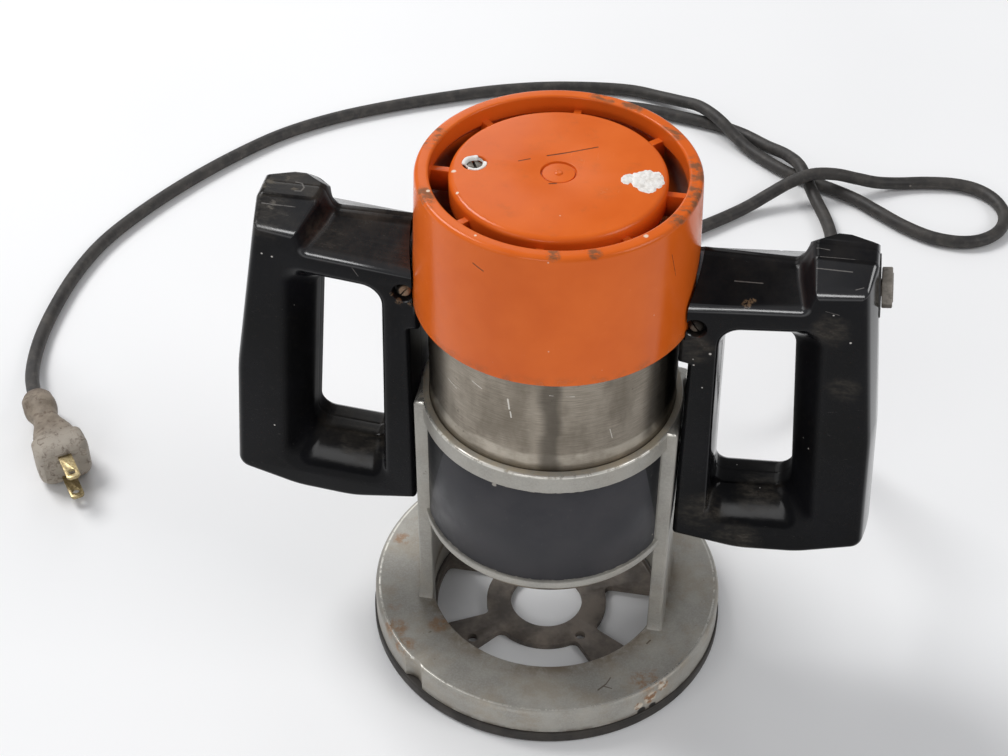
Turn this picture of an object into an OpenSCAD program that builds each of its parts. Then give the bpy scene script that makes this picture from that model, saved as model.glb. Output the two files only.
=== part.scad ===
// Fixed-base electric router: a cast base with a split collar, a motor unit that slides in it,
// and two clamshell D-handles on the motor unit. Millimetres, Z up. The origin is on the surface
// that the router stands on, at the centre of the sub-base. The front (-Y) carries the label plate,
// the right handle (+X) carries the switch and the cord.

/* [Base] */
// Radius of the sub-base disc
base_r = 76.2; // [70:0.1:90]
// Thickness of the sub-base under the casting
sub_base_t = 5.5; // [4:0.1:8]
// Thickness of the sub-base's open web
web_t = 3; // [2:0.1:4]
// Radius of the hole that the cutter passes through
cutter_hole_r = 15.8; // [14:0.1:18]
// Outer radius of the web's inner ring
web_ring_r = 26.5; // [24:0.1:32]
// Height of the cast ring
ring_t = 12.6; // [9:0.1:18]
// Step from the sub-base's edge in to the cast ring's edge
ring_step = 0.8; // [0.4:0.1:2]
// Gap between the motor can and the cast ring's hole
ring_hole_gap = 1.3; // [0.8:0.1:3]
// Width of each pillar, front to back
pillar_w = 40.6; // [30:0.1:50]
// Thickness of each pillar at its front edge
pillar_t = 5.8; // [4:0.1:7]

/* [Collar] */
// Height of the collar's lower edge above the surface
collar_z = 69; // [60:0.5:80]
// Height of the collar
collar_h = 63.2; // [50:0.1:70]
// Thickness of the collar's wall behind the label
collar_wall = 1.9; // [1.5:0.1:3]
// How far the upper lip stands out from the wall
lip_out = 1.5; // [1.2:0.1:1.9]
// Height of the upper lip
lip_h = 9; // [6:0.1:12]
// How far the lower rim stands out from the wall
rim_out = 1.6; // [1.2:0.1:2.8]
// Height of the lower rim
rim_h = 3.4; // [3:0.1:8]
// Thickness of the label plate
label_t = 0.5; // [0.3:0.1:0.9]
// Width of the slot that lets the collar clamp
slot_w = 3.2; // [2:0.1:5]
// Distance from the slot to the clamp bolt's centre line
bolt_out = 13.7; // [13.6:0.1:18]
// Radius of the clamp bolt
bolt_r = 3; // [2.5:0.1:3.5]
// Length of each wing of the wing nut from the bolt's centre line
wing_r = 12.4; // [10:0.1:12.9]

/* [Motor unit] */
// Outer radius of the motor can
can_r = 49; // [46:0.1:52]
// Wall of the motor can
can_wall = 1.8; // [1.2:0.1:2.2]
// Radial gap between the can and the collar
slide_gap = 0.08; // [0.03:0.01:0.1]
// How far the motor unit can be lowered
travel = 34; // [20:0.5:34]
// Radius of the armature core
core_r = 21.5; // [20:0.1:22]
// Air gap between the armature and the field core
air_gap = 0.7; // [0.4:0.1:1]
// Length of the armature and field cores
core_l = 46; // [36:1:48]
// Radius of the commutator
commutator_r = 13; // [12:0.1:15]
// Radius of the shaft's lower journal
journal_r = 7.47; // [7:0.01:8]
// Radius of the shaft's upper journal
top_journal_r = 3.97; // [3.5:0.01:4.5]
// Radial running gap of each journal in its bearing
run_gap = 0.03; // [0.01:0.01:0.08]
// Radius of the cutter shank that the collet holds
shank_r = 3.175; // [3:0.005:3.2]
// Outer radius of the fan
fan_r = 41; // [36:0.5:43]
// Number of fan blades
fan_blades = 11; // [7:1:13]

/* [Top cap] */
// Height of the cap's lower edge above the brushes' centre line
head_gap = 4.7; // [4.6:0.1:8]
// Height of the cap
cap_h = 57; // [52:0.5:64]
// Gap between the motor can and the cap's skirt at its lower edge
cap_skirt_gap = 3; // [2:0.1:4]
// Wall of the cap's skirt
cap_wall = 2.6; // [2:0.1:3.4]
// How much the skirt draws in from its lower edge to its top
cap_draft = 2.2; // [0.5:0.1:3]
// Width of the rim's flat top
rim_w = 5.3; // [4:0.1:6]
// Radius of the raised disc
disc_r = 40; // [36:0.1:42]
// Distance of each cap screw from the centre
cap_screw_x = 31; // [28:0.1:32]
// Number of ribs across the air inlet
rib_count = 8; // [4:1:12]

/* [Handles] */
// Gap between the pillars and the handles
handle_gap = 1; // [0.8:0.1:3]
// Half of each handle's thickness, front to back
handle_half_t = 18.5; // [17.5:0.1:20]
// Radius of the clamp screws of the handles
clamp_screw_r = 2; // [1.6:0.1:2.2]

/* [Switch] */
// Width of the switch button, front to back
button_w = 10; // [8:0.1:12]
// Height of the switch button
button_h = 12.4; // [8:0.1:13]
// How far the button slides
button_travel = 4; // [2:0.1:4.4]
// How far the button stands out of the handle
button_out = 5; // [3:0.1:7]

/* [Cord] */
// Diameter of the cord
cord_d = 7; // [6:0.1:8]
// Length of the strain relief outside the handle
relief_l = 22; // [16:1:30]

/* [Hidden] */
$fn = 96;
eps = 0.02;
tiny = 0.1;

// Heights and radii that follow from the sizes above
ring_r = base_r - ring_step;
ring_top_z = sub_base_t + ring_t;
ring_hole_r = can_r + ring_hole_gap;
collar_top_z = collar_z + collar_h;
bore_r = can_r + slide_gap;
guide_r = can_r + 0.5;
wall_r = bore_r + collar_wall;
lip_r = wall_r + lip_out;
rim_r = wall_r + rim_out;
pillar_x = lip_r;
label_z0 = collar_z + rim_h + 0.2;
label_z1 = collar_top_z - lip_h - 0.2;
bolt_y = wall_r + 3 + bolt_out;
bolt_z = collar_z + collar_h / 2;
ear_t = 8;
ear_r = bolt_r + 4.4;

can_in_r = can_r - can_wall;
can_z0 = collar_z - 5;
plate_z = can_z0 + 0.5;
fan_z = plate_z + 15;
fan_h = 12;
core_z = fan_z + fan_h + 16;
comm_z = core_z + core_l + 14;
comm_h = 16;
brush_z = comm_z + comm_h / 2;
cap_z0 = brush_z + head_gap;
cap_top_z = cap_z0 + cap_h;
can_z1 = cap_z0 + 8;
cap_r0 = can_r + cap_skirt_gap + cap_wall;
cap_r1 = cap_r0 - cap_draft;
inlet_r = cap_r1 - rim_w;
disc_z = cap_top_z - 1.4;

bearing_r = journal_r + run_gap + 8.5;
bearing_w = 9;
bearing_z = plate_z - 1.5;
top_bearing_r = top_journal_r + run_gap + 7;
top_bearing_w = 7;
shaft_bottom_z = can_z0 - 21;
top_bearing_z = cap_z0 + 16;
post_top_z = disc_z - 9;

inner_face = -0.7;
handle_x = pillar_x + handle_gap - inner_face;
step_z = min(-3, collar_top_z + travel + 0.8 - cap_z0);
grip_lean = 7.2;
lug_half_w = 7;
lug_z0 = cap_z0 + 0.8;
lug_z1 = cap_z0 + 22;
clamp_x = handle_x + 1.1;
clamp_z = cap_z0 + 5.3;

button_x = handle_x + 65.4;
button_z = cap_z0 + 20.8;
switch_x0 = handle_x + 45.5;
switch_x1 = handle_x + 57.5;

relief_x = handle_x + 64.3;
relief_z = cap_z0 - 88;
cord_r = cord_d / 2;
exit_y = handle_half_t + relief_l;

// Outlines of a handle as [x from the line handle_x, z from the cap's lower edge, corner radius,
// distance from the parting plane where the change to the face outline starts, power of the change]
parting_outline = [
    [inner_face, -105.8, 1.5, 0, 2],
    [26, -110.4, 40, 0, 2],
    [50, -108.4, 40, 0, 2],
    [77.6, -99.8, 8, 0, 2],
    [73.4, -42, 120, 0, 2],
    [63.4, 36.8, 3, 7.5, 1],
    [40.2, 36.8, 3, 7.5, 1],
    [36, 27.6, 4, 2.6, 1],
    [-4.5, 27.6, 0.5, 2.6, 1],
    [-4.5, step_z + 0.7, 0.5, 0, 2],
    [inner_face, step_z, 0.6, 0, 2]
];
face_outline = [
    [inner_face + 0.1, -105, 1.5],
    [26, -109, 40],
    [50, -106.6, 40],
    [74.6, -98.6, 5],
    [70.6, -42, 120],
    [60.8, 29.6, 1.5],
    [42.4, 27, 1],
    [40.2, 19, 3],
    [-4.5, 14.4, 0.5],
    [-4.5, step_z + 0.7, 0.5],
    [inner_face + 0.1, step_z, 0.6]
];
// How far the left handle's upper corners stand nearer to the cap than the right handle's
left_parting_shift = [0, 0, 0, 0, 1, 5.2, 5.6, 5.2, 0, 0, 0];
left_face_shift = [0, 0, 0, 0, 0.8, 3.5, 0.8, 0.6, 0, 0, 0];
knob_peak = [50.1, 8.6];
left_peak_shift = 5.4;
function moved_corners(c, d) = [
    for (i = [0:len(c) - 1])
        [for (k = [0:len(c[i]) - 1]) c[i][k] - (k == 0 ? d[i] : 0)]
];
parting_window = [
    [11.2, 0.8, 8, 6, 1.5],
    [13.2, -83.2, 5, 6, 1.5],
    [44.4, -80.7, 7, 6, 1.5],
    [37.6, 2.2, 8, 6, 1.5]
];
face_window = [
    [9.4, 6, 9],
    [12, -97.6, 6],
    [54.8, -95, 9],
    [47.6, 10.6, 6]
];
face_round = 1.6;
loft_y = [-0.06, 0.14, 0.28, 0.405, 0.62, 0.8, 0.914, 0.955, 0.985, 1.03];

// The cord's centre line from the strain relief to the plug
cord_route = [
    [relief_x, exit_y, relief_z], [118.5, 58, 91], [118, 70, 86], [116.5, 83, 76], [114.5, 94, 63],
    [112.5, 104, 48], [111, 114, 32], [110, 126, 17], [109.5, 141, 7.5], [109.5, 158, 3.8],
    [110, 180, 3.6], [111, 205, 3.6], [112, 230, 3.6], [112.5, 252, 3.6], [112.5, 271, 3.6],
    [111, 289, 3.6], [107, 304, 3.7], [101.3, 317, 5.2], [95.3, 329, 8.9], [89.7, 341, 11.2],
    [81.5, 354, 8.6], [70, 366, 4.8], [54, 378, 3.6], [37, 384.5, 3.6], [16, 389, 3.6],
    [-10, 393, 3.6], [-34, 390, 3.6], [-54, 374, 3.6], [-65, 347, 3.6], [-66, 316, 3.6],
    [-56, 286, 3.6], [-36, 265, 3.6], [-8, 257, 3.6], [20, 266, 3.6], [42, 285, 3.6],
    [58, 300.5, 3.7], [66, 307.5, 5.2], [75, 314.5, 8.6], [85, 321, 12.8], [97, 327, 15.9],
    [110, 331.8, 14.4], [122, 335.6, 10.4], [134, 339.5, 6.4], [147, 344.5, 4], [162, 348.5, 3.6],
    [178.5, 350, 3.6], [189.9, 347.5, 3.6], [199.2, 340.4, 3.6], [204.6, 330, 3.6],
    [205.1, 318.3, 3.6], [200.6, 307.5, 3.6], [192, 299.6, 3.6], [180.9, 296.1, 3.6],
    [166, 297.5, 3.6], [150.5, 305, 3.6], [136, 315.5, 3.6], [124, 324.5, 3.6], [112, 331, 3.6],
    [103, 335, 3.6], [95, 338.2, 3.6], [88.5, 341.2, 3.6], [80, 346, 3.6], [70, 353.5, 3.6],
    [59.5, 362.3, 4.2], [50.5, 370, 6.8], [42, 377.4, 10.4], [34, 385, 11.4], [26, 392.4, 10.4],
    [16, 400, 7], [2, 407.2, 4.2], [-17, 411.5, 3.6], [-59, 407, 3.6], [-94, 397, 3.6],
    [-128, 382, 3.6], [-157, 367, 3.6], [-186, 349, 3.6], [-212, 327, 3.6], [-233, 301, 3.6],
    [-253, 270, 3.6], [-270, 237, 3.6], [-281, 208, 3.6], [-286, 180, 3.6], [-287, 151, 3.6],
    [-285.5, 127, 3.7], [-281.5, 107, 4.8], [-275.5, 90.5, 8], [-268, 76, 11.2]
];
plug_at = [-268, 76, 11.2];
plug_turn = -53.1;

// Turning direction and unit vectors at corner i of an outline
function step_of(a, b) = let(d = [b.x - a.x, b.y - a.y]) d / max(norm(d), 0.0001);
function before(c, i) = step_of(c[(i + len(c) - 1) % len(c)], c[i]);
function after(c, i) = step_of(c[i], c[(i + 1) % len(c)]);
function side_of(u, v) = u.x * v.y - u.y * v.x < 0 ? -1 : 1;

// Outline with every side moved inwards by d, its corners still sharp
function inset(c, d) = [
    for (i = [0:len(c) - 1])
        let(u = before(c, i))
        let(v = after(c, i))
        let(k = d / (1 + u.x * v.x + u.y * v.y))
        [c[i].x - (u.y + v.y) * k, c[i].y + (u.x + v.x) * k, max(0.12, c[i][2] - side_of(u, v) * d)]
];

// Outline with its corners rounded, each by the same number of points
function rounded(c, n) = [
    for (i = [0:len(c) - 1])
        let(u = before(c, i))
        let(v = after(c, i))
        let(turn = atan2(u.x * v.y - u.y * v.x, u.x * v.x + u.y * v.y))
        let(r = c[i][2])
        let(s = turn < 0 ? -1 : 1)
        let(start = [c[i].x - u.x * r * tan(abs(turn) / 2), c[i].y - u.y * r * tan(abs(turn) / 2)])
        let(mid = [start.x - s * u.y * r, start.y + s * u.x * r])
        for (j = [0:n])
            let(w = turn * j / n)
            let(e = [start.x - mid.x, start.y - mid.y])
            [mid.x + e.x * cos(w) - e.y * sin(w), mid.y + e.x * sin(w) + e.y * cos(w)]
];

// Outline of a handle at a distance y from its parting plane
function blend_at(part, face, y) = [
    for (i = [0:len(part) - 1])
        let(t = min(1, max(0, (y - part[i][3]) / (handle_half_t - part[i][3]))))
        let(w = pow(t, part[i][4]))
        [for (k = [0:2]) part[i][k] + (face[i][k] - part[i][k]) * w]
];
function edge_inset(y) =
    let(d = handle_half_t - y)
    d >= face_round ? 0
        : d < 0 ? face_round - d * 2.5
        : face_round - sqrt(pow(face_round, 2) - pow(face_round - d, 2));
function handle_ring(part, face, y, at, way, n) = [
    for (p = rounded(inset(blend_at(part, face, y), way * edge_inset(y)), n))
        [p.x + handle_x, -at, p.y + cap_z0]
];

// Solid through a list of rings with equal numbers of points
module loft(rings) {
    n = len(rings[0]);
    m = len(rings);
    points = [for (r = rings) for (p = r) p];
    first = [for (i = [0:n - 1]) i];
    last = [for (i = [n - 1:-1:0]) (m - 1) * n + i];
    sides = [
        for (j = [0:m - 2])
            for (i = [0:n - 1])
                for (k = [0, 1])
                    let(a = j * n + i)
                    let(b = j * n + (i + 1) % n)
                    k == 0 ? [a, a + n, b + n] : [a, b + n, b]
    ];
    polyhedron(points = points, faces = concat([first, last], sides), convexity = 8);
}

// Round tube along a route, square to the first and last directions given
function way_at(route, i, first, last) =
    i == 0 ? first : i == len(route) - 1 ? last : route[i + 1] - route[i - 1];
function tube_rings(route, r, sides, first, last) = [
    for (i = [0:len(route) - 1])
        let(d = way_at(route, i, first, last))
        let(t = d / norm(d))
        let(a = cross(abs(t.z) < 0.9 ? [0, 0, 1] : [1, 0, 0], t))
        let(u = a / norm(a))
        let(v = cross(t, u))
        [for (j = [0:sides - 1]) route[i] + r * (cos(360 * j / sides) * u + sin(360 * j / sides) * v)]
];
module tube(route, r, sides, first, last) {
    loft(tube_rings(route, r, sides, first, last));
}

module ring_solid(r_in, r_out, z0, z1) {
    translate([0, 0, z0])
        rotate_extrude()
            translate([r_in, 0])
                square([r_out - r_in, z1 - z0]);
}

module arc_solid(r_in, r_out, z0, z1, from, to) {
    translate([0, 0, z0])
        rotate([0, 0, from])
            rotate_extrude(angle = to - from)
                translate([r_in, 0])
                    square([r_out - r_in, z1 - z0]);
}

module block(x0, x1, y0, y1, z0, z1) {
    translate([x0, y0, z0])
        cube([x1 - x0, y1 - y0, z1 - z0]);
}

module across_x(r, x0, x1, y, z) {
    translate([x0, y, z])
        rotate([0, 90, 0])
            cylinder(r = r, h = x1 - x0);
}

module along_y(r, y0, y1, x, z) {
    translate([x, y0, z])
        rotate([-90, 0, 0])
            cylinder(r = r, h = y1 - y0);
}

// The fixed base

base_screw_r = 2.4;
base_screw_at = 63;
guide_hole_r = 2.2;

module at_spokes(r) {
    for (a = [45:90:315])
        rotate([0, 0, a])
            translate([r, 0, 0])
                children();
}

// Openings of the web as seen from above, with rounded corners: front and rear between two rays,
// left and right from a ray to a straight edge behind
web_corner = 3;
module web_openings() {
    offset(r = web_corner)
        offset(delta = -web_corner)
            difference() {
                circle(r = ring_hole_r - 1.8);
                circle(r = web_ring_r);
                for (a = [40, 140])
                    rotate([0, 0, -a])
                        polygon([[0, 0], [90, -90 * tan(11.5)], [90, 90 * tan(11.5)]]);
                for (k = [-1, 1])
                    polygon([
                        [k * 12.6 / tan(51.5), 12.6], [k * 90, 12.6], [k * 90, 90 * tan(51.5)]
                    ]);
            }
}

module sub_base() {
    color([0.07, 0.07, 0.07])
        difference() {
            union() {
                ring_solid(ring_hole_r - 1, base_r, 0, sub_base_t);
                difference() {
                    ring_solid(cutter_hole_r, ring_hole_r, 0, web_t);
                    translate([0, 0, -1])
                        linear_extrude(height = web_t + 2)
                            web_openings();
                }
            }
            at_spokes(base_screw_at) {
                translate([0, 0, -1])
                    cylinder(r = base_screw_r + 0.2, h = sub_base_t + 2);
                translate([0, 0, -eps])
                    cylinder(r1 = 5.3, r2 = base_screw_r + 0.2, h = 2.9);
            }
            for (a = [45, 225])
                rotate([0, 0, a])
                    translate([39.7, 0, -1])
                        cylinder(r = guide_hole_r, h = web_t + 2);
            for (a = [135, 315])
                rotate([0, 0, a])
                    translate([web_ring_r - 1, 0, -1])
                        cylinder(r = guide_hole_r, h = web_t + 2);
        }
}

module sub_base_screws() {
    color([0.55, 0.55, 0.55])
        at_spokes(base_screw_at)
            difference() {
                rotate_extrude()
                    polygon([
                        [0, 0.4], [4.7, 0.4], [base_screw_r, 2.7], [base_screw_r, sub_base_t + 9],
                        [base_screw_r - 0.8, sub_base_t + 9.8], [0, sub_base_t + 9.8]
                    ]);
                block(-5, 5, -0.5, 0.5, -1, 1.4);
            }
}

module collar_profile() {
    rotate_extrude()
        polygon([
            [bore_r, collar_z], [rim_r - 1, collar_z], [rim_r, collar_z + 1],
            [rim_r, collar_z + rim_h - 0.8], [rim_r - 0.8, collar_z + rim_h], [wall_r, collar_z + rim_h],
            [wall_r, collar_top_z - lip_h], [lip_r + 0.2, collar_top_z - lip_h + 1],
            [lip_r, collar_top_z - 0.8], [lip_r - 0.8, collar_top_z], [bore_r + 0.5, collar_top_z],
            [bore_r, collar_top_z - 0.5]
        ]);
}

module pillar() {
    difference() {
        rotate([90, 0, 0])
            linear_extrude(height = pillar_w, center = true)
                polygon([
                    [pillar_x - pillar_t, sub_base_t + 3], [pillar_x + 1.1, sub_base_t + 3],
                    [pillar_x + 1.1, ring_top_z], [pillar_x + 0.4, ring_top_z + 4],
                    [pillar_x, ring_top_z + 12], [pillar_x, collar_top_z - 1.8],
                    [pillar_x - 0.6, collar_top_z - 0.6], [pillar_x - 1.8, collar_top_z],
                    [pillar_x - pillar_t, collar_top_z]
                ]);
        cylinder(r = guide_r, h = collar_z + eps);
        cylinder(r = bore_r, h = collar_top_z + 1);
    }
}

module ear(x0, x1) {
    difference() {
        union() {
            translate([x0, 0, 0])
                rotate([90, 0, 90])
                    linear_extrude(height = x1 - x0)
                        polygon([
                            [wall_r - 1.6, bolt_z - 20], [wall_r + 3, bolt_z - 17],
                            [bolt_y, bolt_z - ear_r], [bolt_y, bolt_z + ear_r],
                            [wall_r + 3, bolt_z + 17], [wall_r - 1.6, bolt_z + 20]
                        ]);
            across_x(ear_r, x0, x1, bolt_y, bolt_z);
        }
        across_x(bolt_r + 0.25, x0 - 1, x1 + 1, bolt_y, bolt_z);
        cylinder(r = bore_r, h = collar_top_z + 1);
    }
}

module base_casting() {
    color([0.55, 0.56, 0.58])
        difference() {
            union() {
                difference() {
                    translate([0, 0, sub_base_t])
                        rotate_extrude()
                            polygon([
                                [ring_hole_r, 0], [ring_r, 0], [ring_r, ring_t - 1.6],
                                [ring_r - 1.6, ring_t], [ring_hole_r + 0.8, ring_t],
                                [ring_hole_r, ring_t - 0.8]
                            ]);
                    at_spokes(base_screw_at)
                        cylinder(r = base_screw_r + 0.04, h = sub_base_t + 10.4);
                    rotate([0, 0, -129])
                        translate([ring_r + 4.5, 0, sub_base_t - 1])
                            cylinder(r = 7.2, h = ring_t + 2);
                }
                pillar();
                mirror([1, 0, 0])
                    pillar();
                collar_profile();
                ear(slot_w / 2, slot_w / 2 + ear_t);
                mirror([1, 0, 0])
                    ear(slot_w / 2, slot_w / 2 + ear_t);
            }
            block(-slot_w / 2, slot_w / 2, can_r - 6, bolt_y + 20, collar_z - 1, collar_top_z + 1);
        }
}

module label_plate() {
    color([0.04, 0.04, 0.04]) {
        arc_solid(wall_r + 0.05, wall_r + label_t, label_z0, label_z1, 204.6, 335.4);
    }
}

bolt_head_x = slot_w / 2 + ear_t;
nut_x = bolt_head_x + 0.3;

module clamp_bolt() {
    color([0.6, 0.6, 0.6])
        union() {
            across_x(bolt_r, -bolt_head_x - eps, nut_x + 13, bolt_y, bolt_z);
            translate([-bolt_head_x - 4, bolt_y, bolt_z])
                rotate([0, 90, 0])
                    cylinder(r = 5.8, h = 4, $fn = 6);
        }
}

module wing() {
    rotate([90, 0, 90])
        translate([0, 0, 2])
            linear_extrude(height = 3)
                polygon([
                    [0, -5], [5.5, -4.6], [wing_r - 2, -4], [wing_r, -1.6], [wing_r, 3],
                    [wing_r - 2.4, 5], [6, 4.2], [0, 4.6]
                ]);
}

module wing_nut() {
    color([0.6, 0.6, 0.6])
        translate([nut_x, bolt_y, bolt_z])
            difference() {
                union() {
                    rotate([0, 90, 0])
                        rotate_extrude()
                            polygon([[0, 0], [6, 0], [6, 2], [5, 9], [0, 9]]);
                    wing();
                    mirror([0, 1, 0])
                        wing();
                }
                across_x(bolt_r + 0.05, -1, 12, 0, 0);
            }
}

// The motor unit's housing
bolt_at = can_in_r - 3.8;
bolt_hole = 2.3;
spigot_r = can_in_r - 0.05;
spigot_in = spigot_r - 7.15;
flange_h = 6;

module at_through_bolts() {
    for (a = [40, 220])
        rotate([0, 0, a])
            translate([bolt_at, 0, 0])
                children();
}

module motor_can() {
    color([0.78, 0.77, 0.75])
        rotate_extrude()
            polygon([
                [can_in_r, can_z0], [can_r - 0.4, can_z0], [can_r, can_z0 + 0.6],
                [can_r, can_top_z], [can_in_r, can_top_z]
            ]);
}

can_top_z = cap_z0 + 0.6;
plate_t = 6;

module bearing_plate() {
    color([0.7, 0.71, 0.72])
        difference() {
            rotate_extrude()
                polygon([
                    [9.5, bearing_z - 1.6], [bearing_r + 3.4, bearing_z - 1.6],
                    [bearing_r + 4.2, plate_z], [spigot_r, plate_z], [spigot_r, plate_z + plate_t + 3],
                    [spigot_r - 2.4, plate_z + plate_t + 3], [spigot_r - 2.4, plate_z + 3],
                    [bearing_r + 3.6, plate_z + 3], [bearing_r + 3, bearing_z + bearing_w + 0.6],
                    [bearing_r, bearing_z + bearing_w + 0.6], [bearing_r, bearing_z], [9.5, bearing_z]
                ]);
            for (a = [0:36:324])
                rotate([0, 0, a + 4])
                    translate([32.5, 0, plate_z - 1])
                        cylinder(r = 5.6, h = 5);
            at_through_bolts()
                translate([0, 0, plate_z - 1])
                    cylinder(r = bolt_hole, h = 12);
        }
}

module bearing(r_in, r_out, w, z) {
    land = (r_out - r_in) * 0.28;
    translate([0, 0, z])
        rotate_extrude()
            polygon([
                [r_in, 0], [r_in + land, 0], [r_in + land, 0.5], [r_out - land, 0.5], [r_out - land, 0],
                [r_out, 0], [r_out, w], [r_out - land, w], [r_out - land, w - 0.5],
                [r_in + land, w - 0.5], [r_in + land, w], [r_in, w]
            ]);
}

module lower_bearing() {
    color([0.65, 0.66, 0.68])
        bearing(journal_r + run_gap, bearing_r, bearing_w, bearing_z);
}

module upper_bearing() {
    color([0.65, 0.66, 0.68])
        bearing(top_journal_r + run_gap, top_bearing_r, top_bearing_w, top_bearing_z);
}

yoke_in_r = spigot_r - 8.15;
pole_half = 11;
shoe_t = 5;
shoe_half_angle = 56;
core_bore_r = core_r + air_gap;

module field_core() {
    color([0.35, 0.35, 0.37])
        difference() {
            union() {
                ring_solid(yoke_in_r, spigot_r, core_z, core_z + core_l);
                for (a = [0, 180])
                    rotate([0, 0, a]) {
                        arc_solid(core_bore_r, core_bore_r + shoe_t, core_z, core_z + core_l,
                            -shoe_half_angle, shoe_half_angle);
                        difference() {
                            block(core_bore_r - 4, yoke_in_r + 1, -pole_half, pole_half, core_z,
                                core_z + core_l);
                            cylinder(r = core_bore_r + shoe_t / 2, h = 200);
                        }
                    }
            }
            at_through_bolts()
                translate([0, 0, core_z - 1])
                    cylinder(r = bolt_hole, h = core_l + 2);
        }
}

module field_coils() {
    color([0.55, 0.25, 0.1])
        for (a = [0, 180])
            rotate([0, 0, a])
                intersection() {
                    ring_solid(core_bore_r + shoe_t + 0.3, yoke_in_r - 0.2, core_z - 9,
                        core_z + core_l + 9);
                    difference() {
                        block(20, yoke_in_r, -21, 21, core_z - 8, core_z + core_l + 8);
                        block(19, yoke_in_r + 1, -pole_half - 0.2, pole_half + 0.2, core_z - 0.2,
                            core_z + core_l + 0.2);
                    }
                }
}

baffle_eye_r = fan_r - 10;

module fan_baffle() {
    color([0.2, 0.2, 0.2])
        difference() {
            rotate_extrude()
                polygon([
                    [baffle_eye_r, fan_z + fan_h + 2], [baffle_eye_r + 3, fan_z + fan_h + 2],
                    [yoke_in_r + 1, fan_z + fan_h + 4.5], [spigot_r, core_z - 1.5],
                    [spigot_r, core_z], [spigot_r - 2.2, core_z],
                    [yoke_in_r + 0.4, fan_z + fan_h + 7], [baffle_eye_r + 4, fan_z + fan_h + 4.8],
                    [baffle_eye_r, fan_z + fan_h + 3.6]
                ]);
            at_through_bolts()
                translate([0, 0, fan_z])
                    cylinder(r = bolt_hole, h = 40);
        }
}

hub_in_r = commutator_r + 1.8;
hub_r = hub_in_r + 3.4;
hub_z0 = cap_z0 + 0.8;

module lug() {
    difference() {
        block(hub_in_r + 1, handle_x + 7.8, -lug_half_w, lug_half_w, lug_z0, lug_z0 + flange_h);
        cylinder(r = hub_in_r + 1.5, h = 400);
    }
    difference() {
        block(can_r - 5, handle_x + 7.8, -lug_half_w, lug_half_w, lug_z0, lug_z1);
        across_lug();
    }
}

module across_lug() {
    along_y(clamp_screw_r + 0.2, -20, 20, clamp_x, clamp_z);
}

module end_housing() {
    color([0.7, 0.71, 0.72])
        difference() {
            union() {
                rotate_extrude()
                    polygon([
                        [spigot_in, can_top_z - 6], [spigot_r, can_top_z - 6], [spigot_r, can_top_z],
                        [can_r + 1.6, can_top_z], [can_r + 1.6, can_top_z + 2],
                        [can_r - 0.4, can_top_z + flange_h], [spigot_in, can_top_z + flange_h]
                    ]);
                rotate_extrude()
                    polygon([
                        [hub_in_r, hub_z0], [hub_r, hub_z0], [hub_r, top_bearing_z + top_bearing_w + 0.4],
                        [hub_r - 1, top_bearing_z + top_bearing_w + 1.4],
                        [top_bearing_r, top_bearing_z + top_bearing_w + 1.4],
                        [top_bearing_r, top_bearing_z], [8, top_bearing_z], [8, top_bearing_z - 2.4],
                        [hub_in_r, top_bearing_z - 4.4]
                    ]);
                lug();
                mirror([1, 0, 0])
                    lug();
                for (a = [90, 270])
                    rotate([0, 0, a])
                        difference() {
                            block(hub_in_r + 1, spigot_in + 2, -6, 6, hub_z0, hub_z0 + flange_h);
                            cylinder(r = hub_in_r + 1.5, h = 400);
                        }
                for (x = [-cap_screw_x, cap_screw_x])
                    translate([x, 0, lug_z0 + 2])
                        cylinder(r = 4.6, h = post_top_z - lug_z0 - 2);
            }
            across_lug();
            mirror([1, 0, 0])
                across_lug();
            for (x = [-cap_screw_x, cap_screw_x])
                translate([x, 0, post_top_z - 16])
                    cylinder(r = 2.04, h = 20);
            at_through_bolts()
                translate([0, 0, can_top_z - 7])
                    cylinder(r = 2.04, h = 20);
        }
}

module through_bolts() {
    color([0.6, 0.6, 0.6])
        at_through_bolts()
            union() {
                translate([0, 0, plate_z])
                    translate([0, 0, -3])
                        cylinder(r = 3.4, h = 3);
                translate([0, 0, plate_z - eps])
                    cylinder(r = 2, h = can_top_z + 4 - plate_z);
            }
}

brush_w = 8;
brush_h = 6.4;
brush_in = commutator_r + 0.3;
brush_l = 15;
holder_in = commutator_r + 2;
holder_out = spigot_in - 0.6;
brush_end = brush_in + brush_l;

module at_brushes() {
    for (a = [90, 270])
        rotate([0, 0, a])
            children();
}

module brush_holders() {
    color([0.75, 0.6, 0.25])
        at_brushes()
            difference() {
                union() {
                    block(holder_in, holder_out, -brush_w / 2 - 1.6, brush_w / 2 + 1.6,
                        brush_z - brush_h / 2 - 1.6, brush_z + brush_h / 2 + 1.6);
                    block(holder_in + 4, holder_out - 4, -3, 3, brush_z + brush_h / 2 + 1, hub_z0);
                }
                block(holder_in - 1, holder_out - 1.6, -brush_w / 2 - 0.1, brush_w / 2 + 0.1,
                    brush_z - brush_h / 2 - 0.1, brush_z + brush_h / 2 + 0.1);
            }
}

module brushes() {
    color([0.12, 0.12, 0.12])
        at_brushes()
            difference() {
                block(commutator_r - 2, brush_end, -brush_w / 2, brush_w / 2, brush_z - brush_h / 2,
                    brush_z + brush_h / 2);
                translate([0, 0, brush_z - 10])
                    cylinder(r = brush_in, h = 20);
            }
}

spring_turns = 5;
spring_r = 2.4;
spring_wire_r = 0.35;
spring_l = holder_out - 1.6 - brush_end;
function spring_route(n) = [
    for (i = [0:n])
        let(a = 360 * spring_turns * i / n)
        [
            brush_end + spring_wire_r + (spring_l - 2 * spring_wire_r) * i / n,
            spring_r * cos(a),
            brush_z + spring_r * sin(a)
        ]
];

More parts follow.
